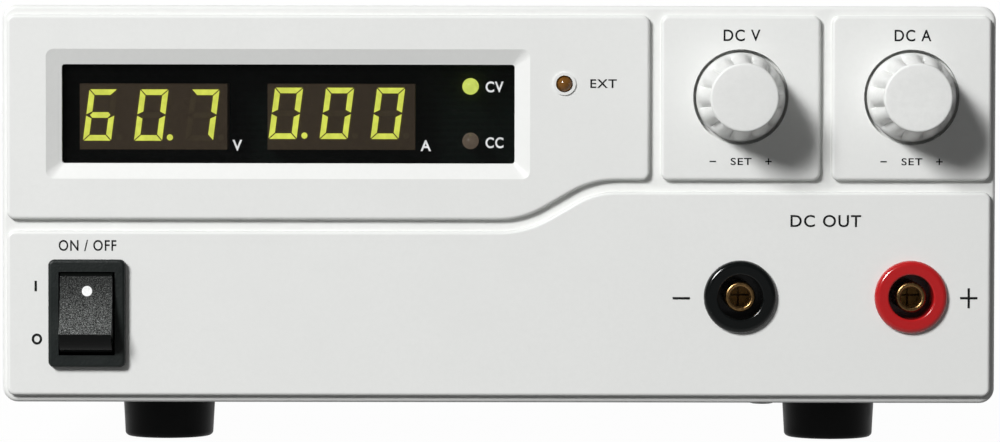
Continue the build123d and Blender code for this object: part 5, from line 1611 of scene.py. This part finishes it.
@dataclass
class Studio:
    """Pale floor, white surroundings, one soft key light and the camera."""

    lens: float = 161.25
    eye: Place = (0.6 * MM, -1011.5 * MM, 78.4 * MM)
    yaw: float = -0.023
    pitch: float = 2.016
    roll: float = 0.091
    key_place: Place = (-1.29, -2.0, 1.3)
    key_target: Place = (0.0, -0.11, 0.05)
    key_size: float = 0.68
    key_power: float = 78.0
    back_light: float = 0.19
    front_light: float = 0.13
    front_gloss: float = 0.12
    floor_white: float = 0.98
    floor_half: float = 6.0
    floor_pale: Colour = paint(100, 100, 100)
    floor_paper: Colour = paint(235, 235, 235)

    def floor(self) -> None:
        """A wide floor that looks white and keeps a soft shadow."""
        mesh = bmesh.new()
        bmesh.ops.create_grid(mesh, x_segments=2, y_segments=2, size=self.floor_half)
        shape = written(mesh, "floor")
        material = bpy.data.materials.new("floor_paper")
        material.use_nodes = True
        material.node_tree.nodes.clear()
        nodes = Nodes(material.node_tree)
        ray = nodes.add("ShaderNodeLightPath").outputs
        place = nodes.add("ShaderNodeNewGeometry").outputs["Position"]
        depth = nodes.add("ShaderNodeSeparateXYZ", {0: place}).outputs["Y"]
        fade = nodes.spread(depth, -0.2, 0.0, self.front_gloss, 1.0)
        seen = nodes.add("ShaderNodeMath", {
            0: ray["Is Glossy Ray"], 1: fade, 2: ray["Is Camera Ray"],
        }, operation="MULTIPLY_ADD", use_clamp=True)
        pale, paper = (
            nodes.add("ShaderNodeBsdfDiffuse", {"Color": colour}).outputs[0]
            for colour in (self.floor_pale, self.floor_paper)
        )
        glow = nodes.add("ShaderNodeEmission", {"Strength": 1.0}).outputs[0]
        soft = nodes.add("ShaderNodeMixShader", {0: self.floor_white, 1: paper, 2: glow})
        mix = nodes.add("ShaderNodeMixShader", {0: seen.outputs[0], 1: pale, 2: soft.outputs[0]})
        nodes.add("ShaderNodeOutputMaterial", {"Surface": mix.outputs[0]})
        shape.materials.append(material)
        floor = link("floor", shape)

    def surroundings(self) -> None:
        """White for the eye, dimmer before the front in its reflections, plain grey as light."""
        world = bpy.data.worlds.new("surroundings")
        bpy.context.scene.world = world
        world.use_nodes = True
        world.node_tree.nodes.clear()
        nodes = Nodes(world.node_tree)
        ray = nodes.add("ShaderNodeLightPath").outputs
        way = nodes.add("ShaderNodeTexCoord").outputs["Generated"]
        depth = nodes.add("ShaderNodeSeparateXYZ", {0: way}).outputs["Y"]
        mirrored = nodes.spread(depth, -0.1, 0.6, self.front_gloss, 1.0)
        fill = nodes.spread(depth, -0.7, 0.3, self.front_light, self.back_light)
        eye, gloss, light = (
            nodes.add("ShaderNodeBackground", {"Color": (1, 1, 1, 1), "Strength": power}).outputs[0]
            for power in (1.0, mirrored, fill)
        )
        sharp = nodes.add("ShaderNodeMath", {
            0: ray["Is Glossy Ray"], 1: ray["Is Transmission Ray"],
        }, operation="ADD", use_clamp=True)
        first = nodes.add("ShaderNodeMixShader", {0: sharp.outputs[0], 1: light, 2: gloss})
        second = nodes.add("ShaderNodeMixShader", {
            0: ray["Is Camera Ray"], 1: first.outputs[0], 2: eye})
        nodes.add("ShaderNodeOutputWorld", {"Surface": second.outputs[0]})

    def lamps(self) -> None:
        """One soft key light from the upper left."""
        light = bpy.data.lights.new("key", "AREA")
        light.size, light.energy = self.key_size, self.key_power
        key = link("key", light)
        key.location = self.key_place
        aim = Vector(self.key_target) - Vector(self.key_place)
        key.rotation_euler = aim.to_track_quat("-Z", "Y").to_euler()

    def camera(self) -> None:
        """The camera at the photograph's place and angle."""
        yaw, pitch, roll = (math.radians(a) for a in (self.yaw, self.pitch, self.roll))
        ahead = Vector((math.sin(yaw) * math.cos(pitch), math.cos(yaw) * math.cos(pitch),
                        -math.sin(pitch)))
        level = Vector((math.cos(yaw), -math.sin(yaw), 0))
        upright = level.cross(ahead)
        right = level * math.cos(roll) + upright * math.sin(roll)
        up = upright * math.cos(roll) - level * math.sin(roll)
        lens = bpy.data.cameras.new("camera")
        lens.lens, lens.clip_start, lens.clip_end = self.lens, 0.01, 50.0
        camera = link("camera", lens)
        turn = Matrix((right, up, -ahead)).transposed().to_4x4()
        camera.matrix_world = Matrix.Translation(self.eye) @ turn
        bpy.context.scene.camera = camera

    def build(self) -> None:
        """Set the whole studio."""
        self.camera()
        self.surroundings()
        self.lamps()
        self.floor()
        bpy.context.scene.view_settings.view_transform = "Standard"


def dress_nodes() -> None:
    """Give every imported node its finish."""
    rocker = middle("power_switch_body")
    sandy = RockerPlastic("rocker_finish", paint(15, 17, 16), (rocker.x, ROCKER_AXIS_Y, rocker.z))
    finishes = NODE_FINISHES | {sandy: ("power_rocker",)}
    bare = set(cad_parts)
    for finish, names in finishes.items():
        for name in names:
            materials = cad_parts[name].data.materials
            materials.clear()
            materials.append(finish.material())
            bare.discard(name)
    log.info("bare nodes: %s", sorted(bare))


def main() -> None:
    """Build the studio, dress the nodes and add every piece."""
    logging.basicConfig(level=logging.INFO, format="%(name)s: %(message)s")
    Studio().build()
    dress_nodes()
    Display().build()
    for name in ("voltage", "current"):
        RotaryKnob(name).build()
    for name in ("black", "red"):
        SocketMouth(name).build()
    RockerMark().build()
    FrontPrint().build()
    Hardware().build()
    RearPrint().build()


if __name__ == "__main__":
    main()
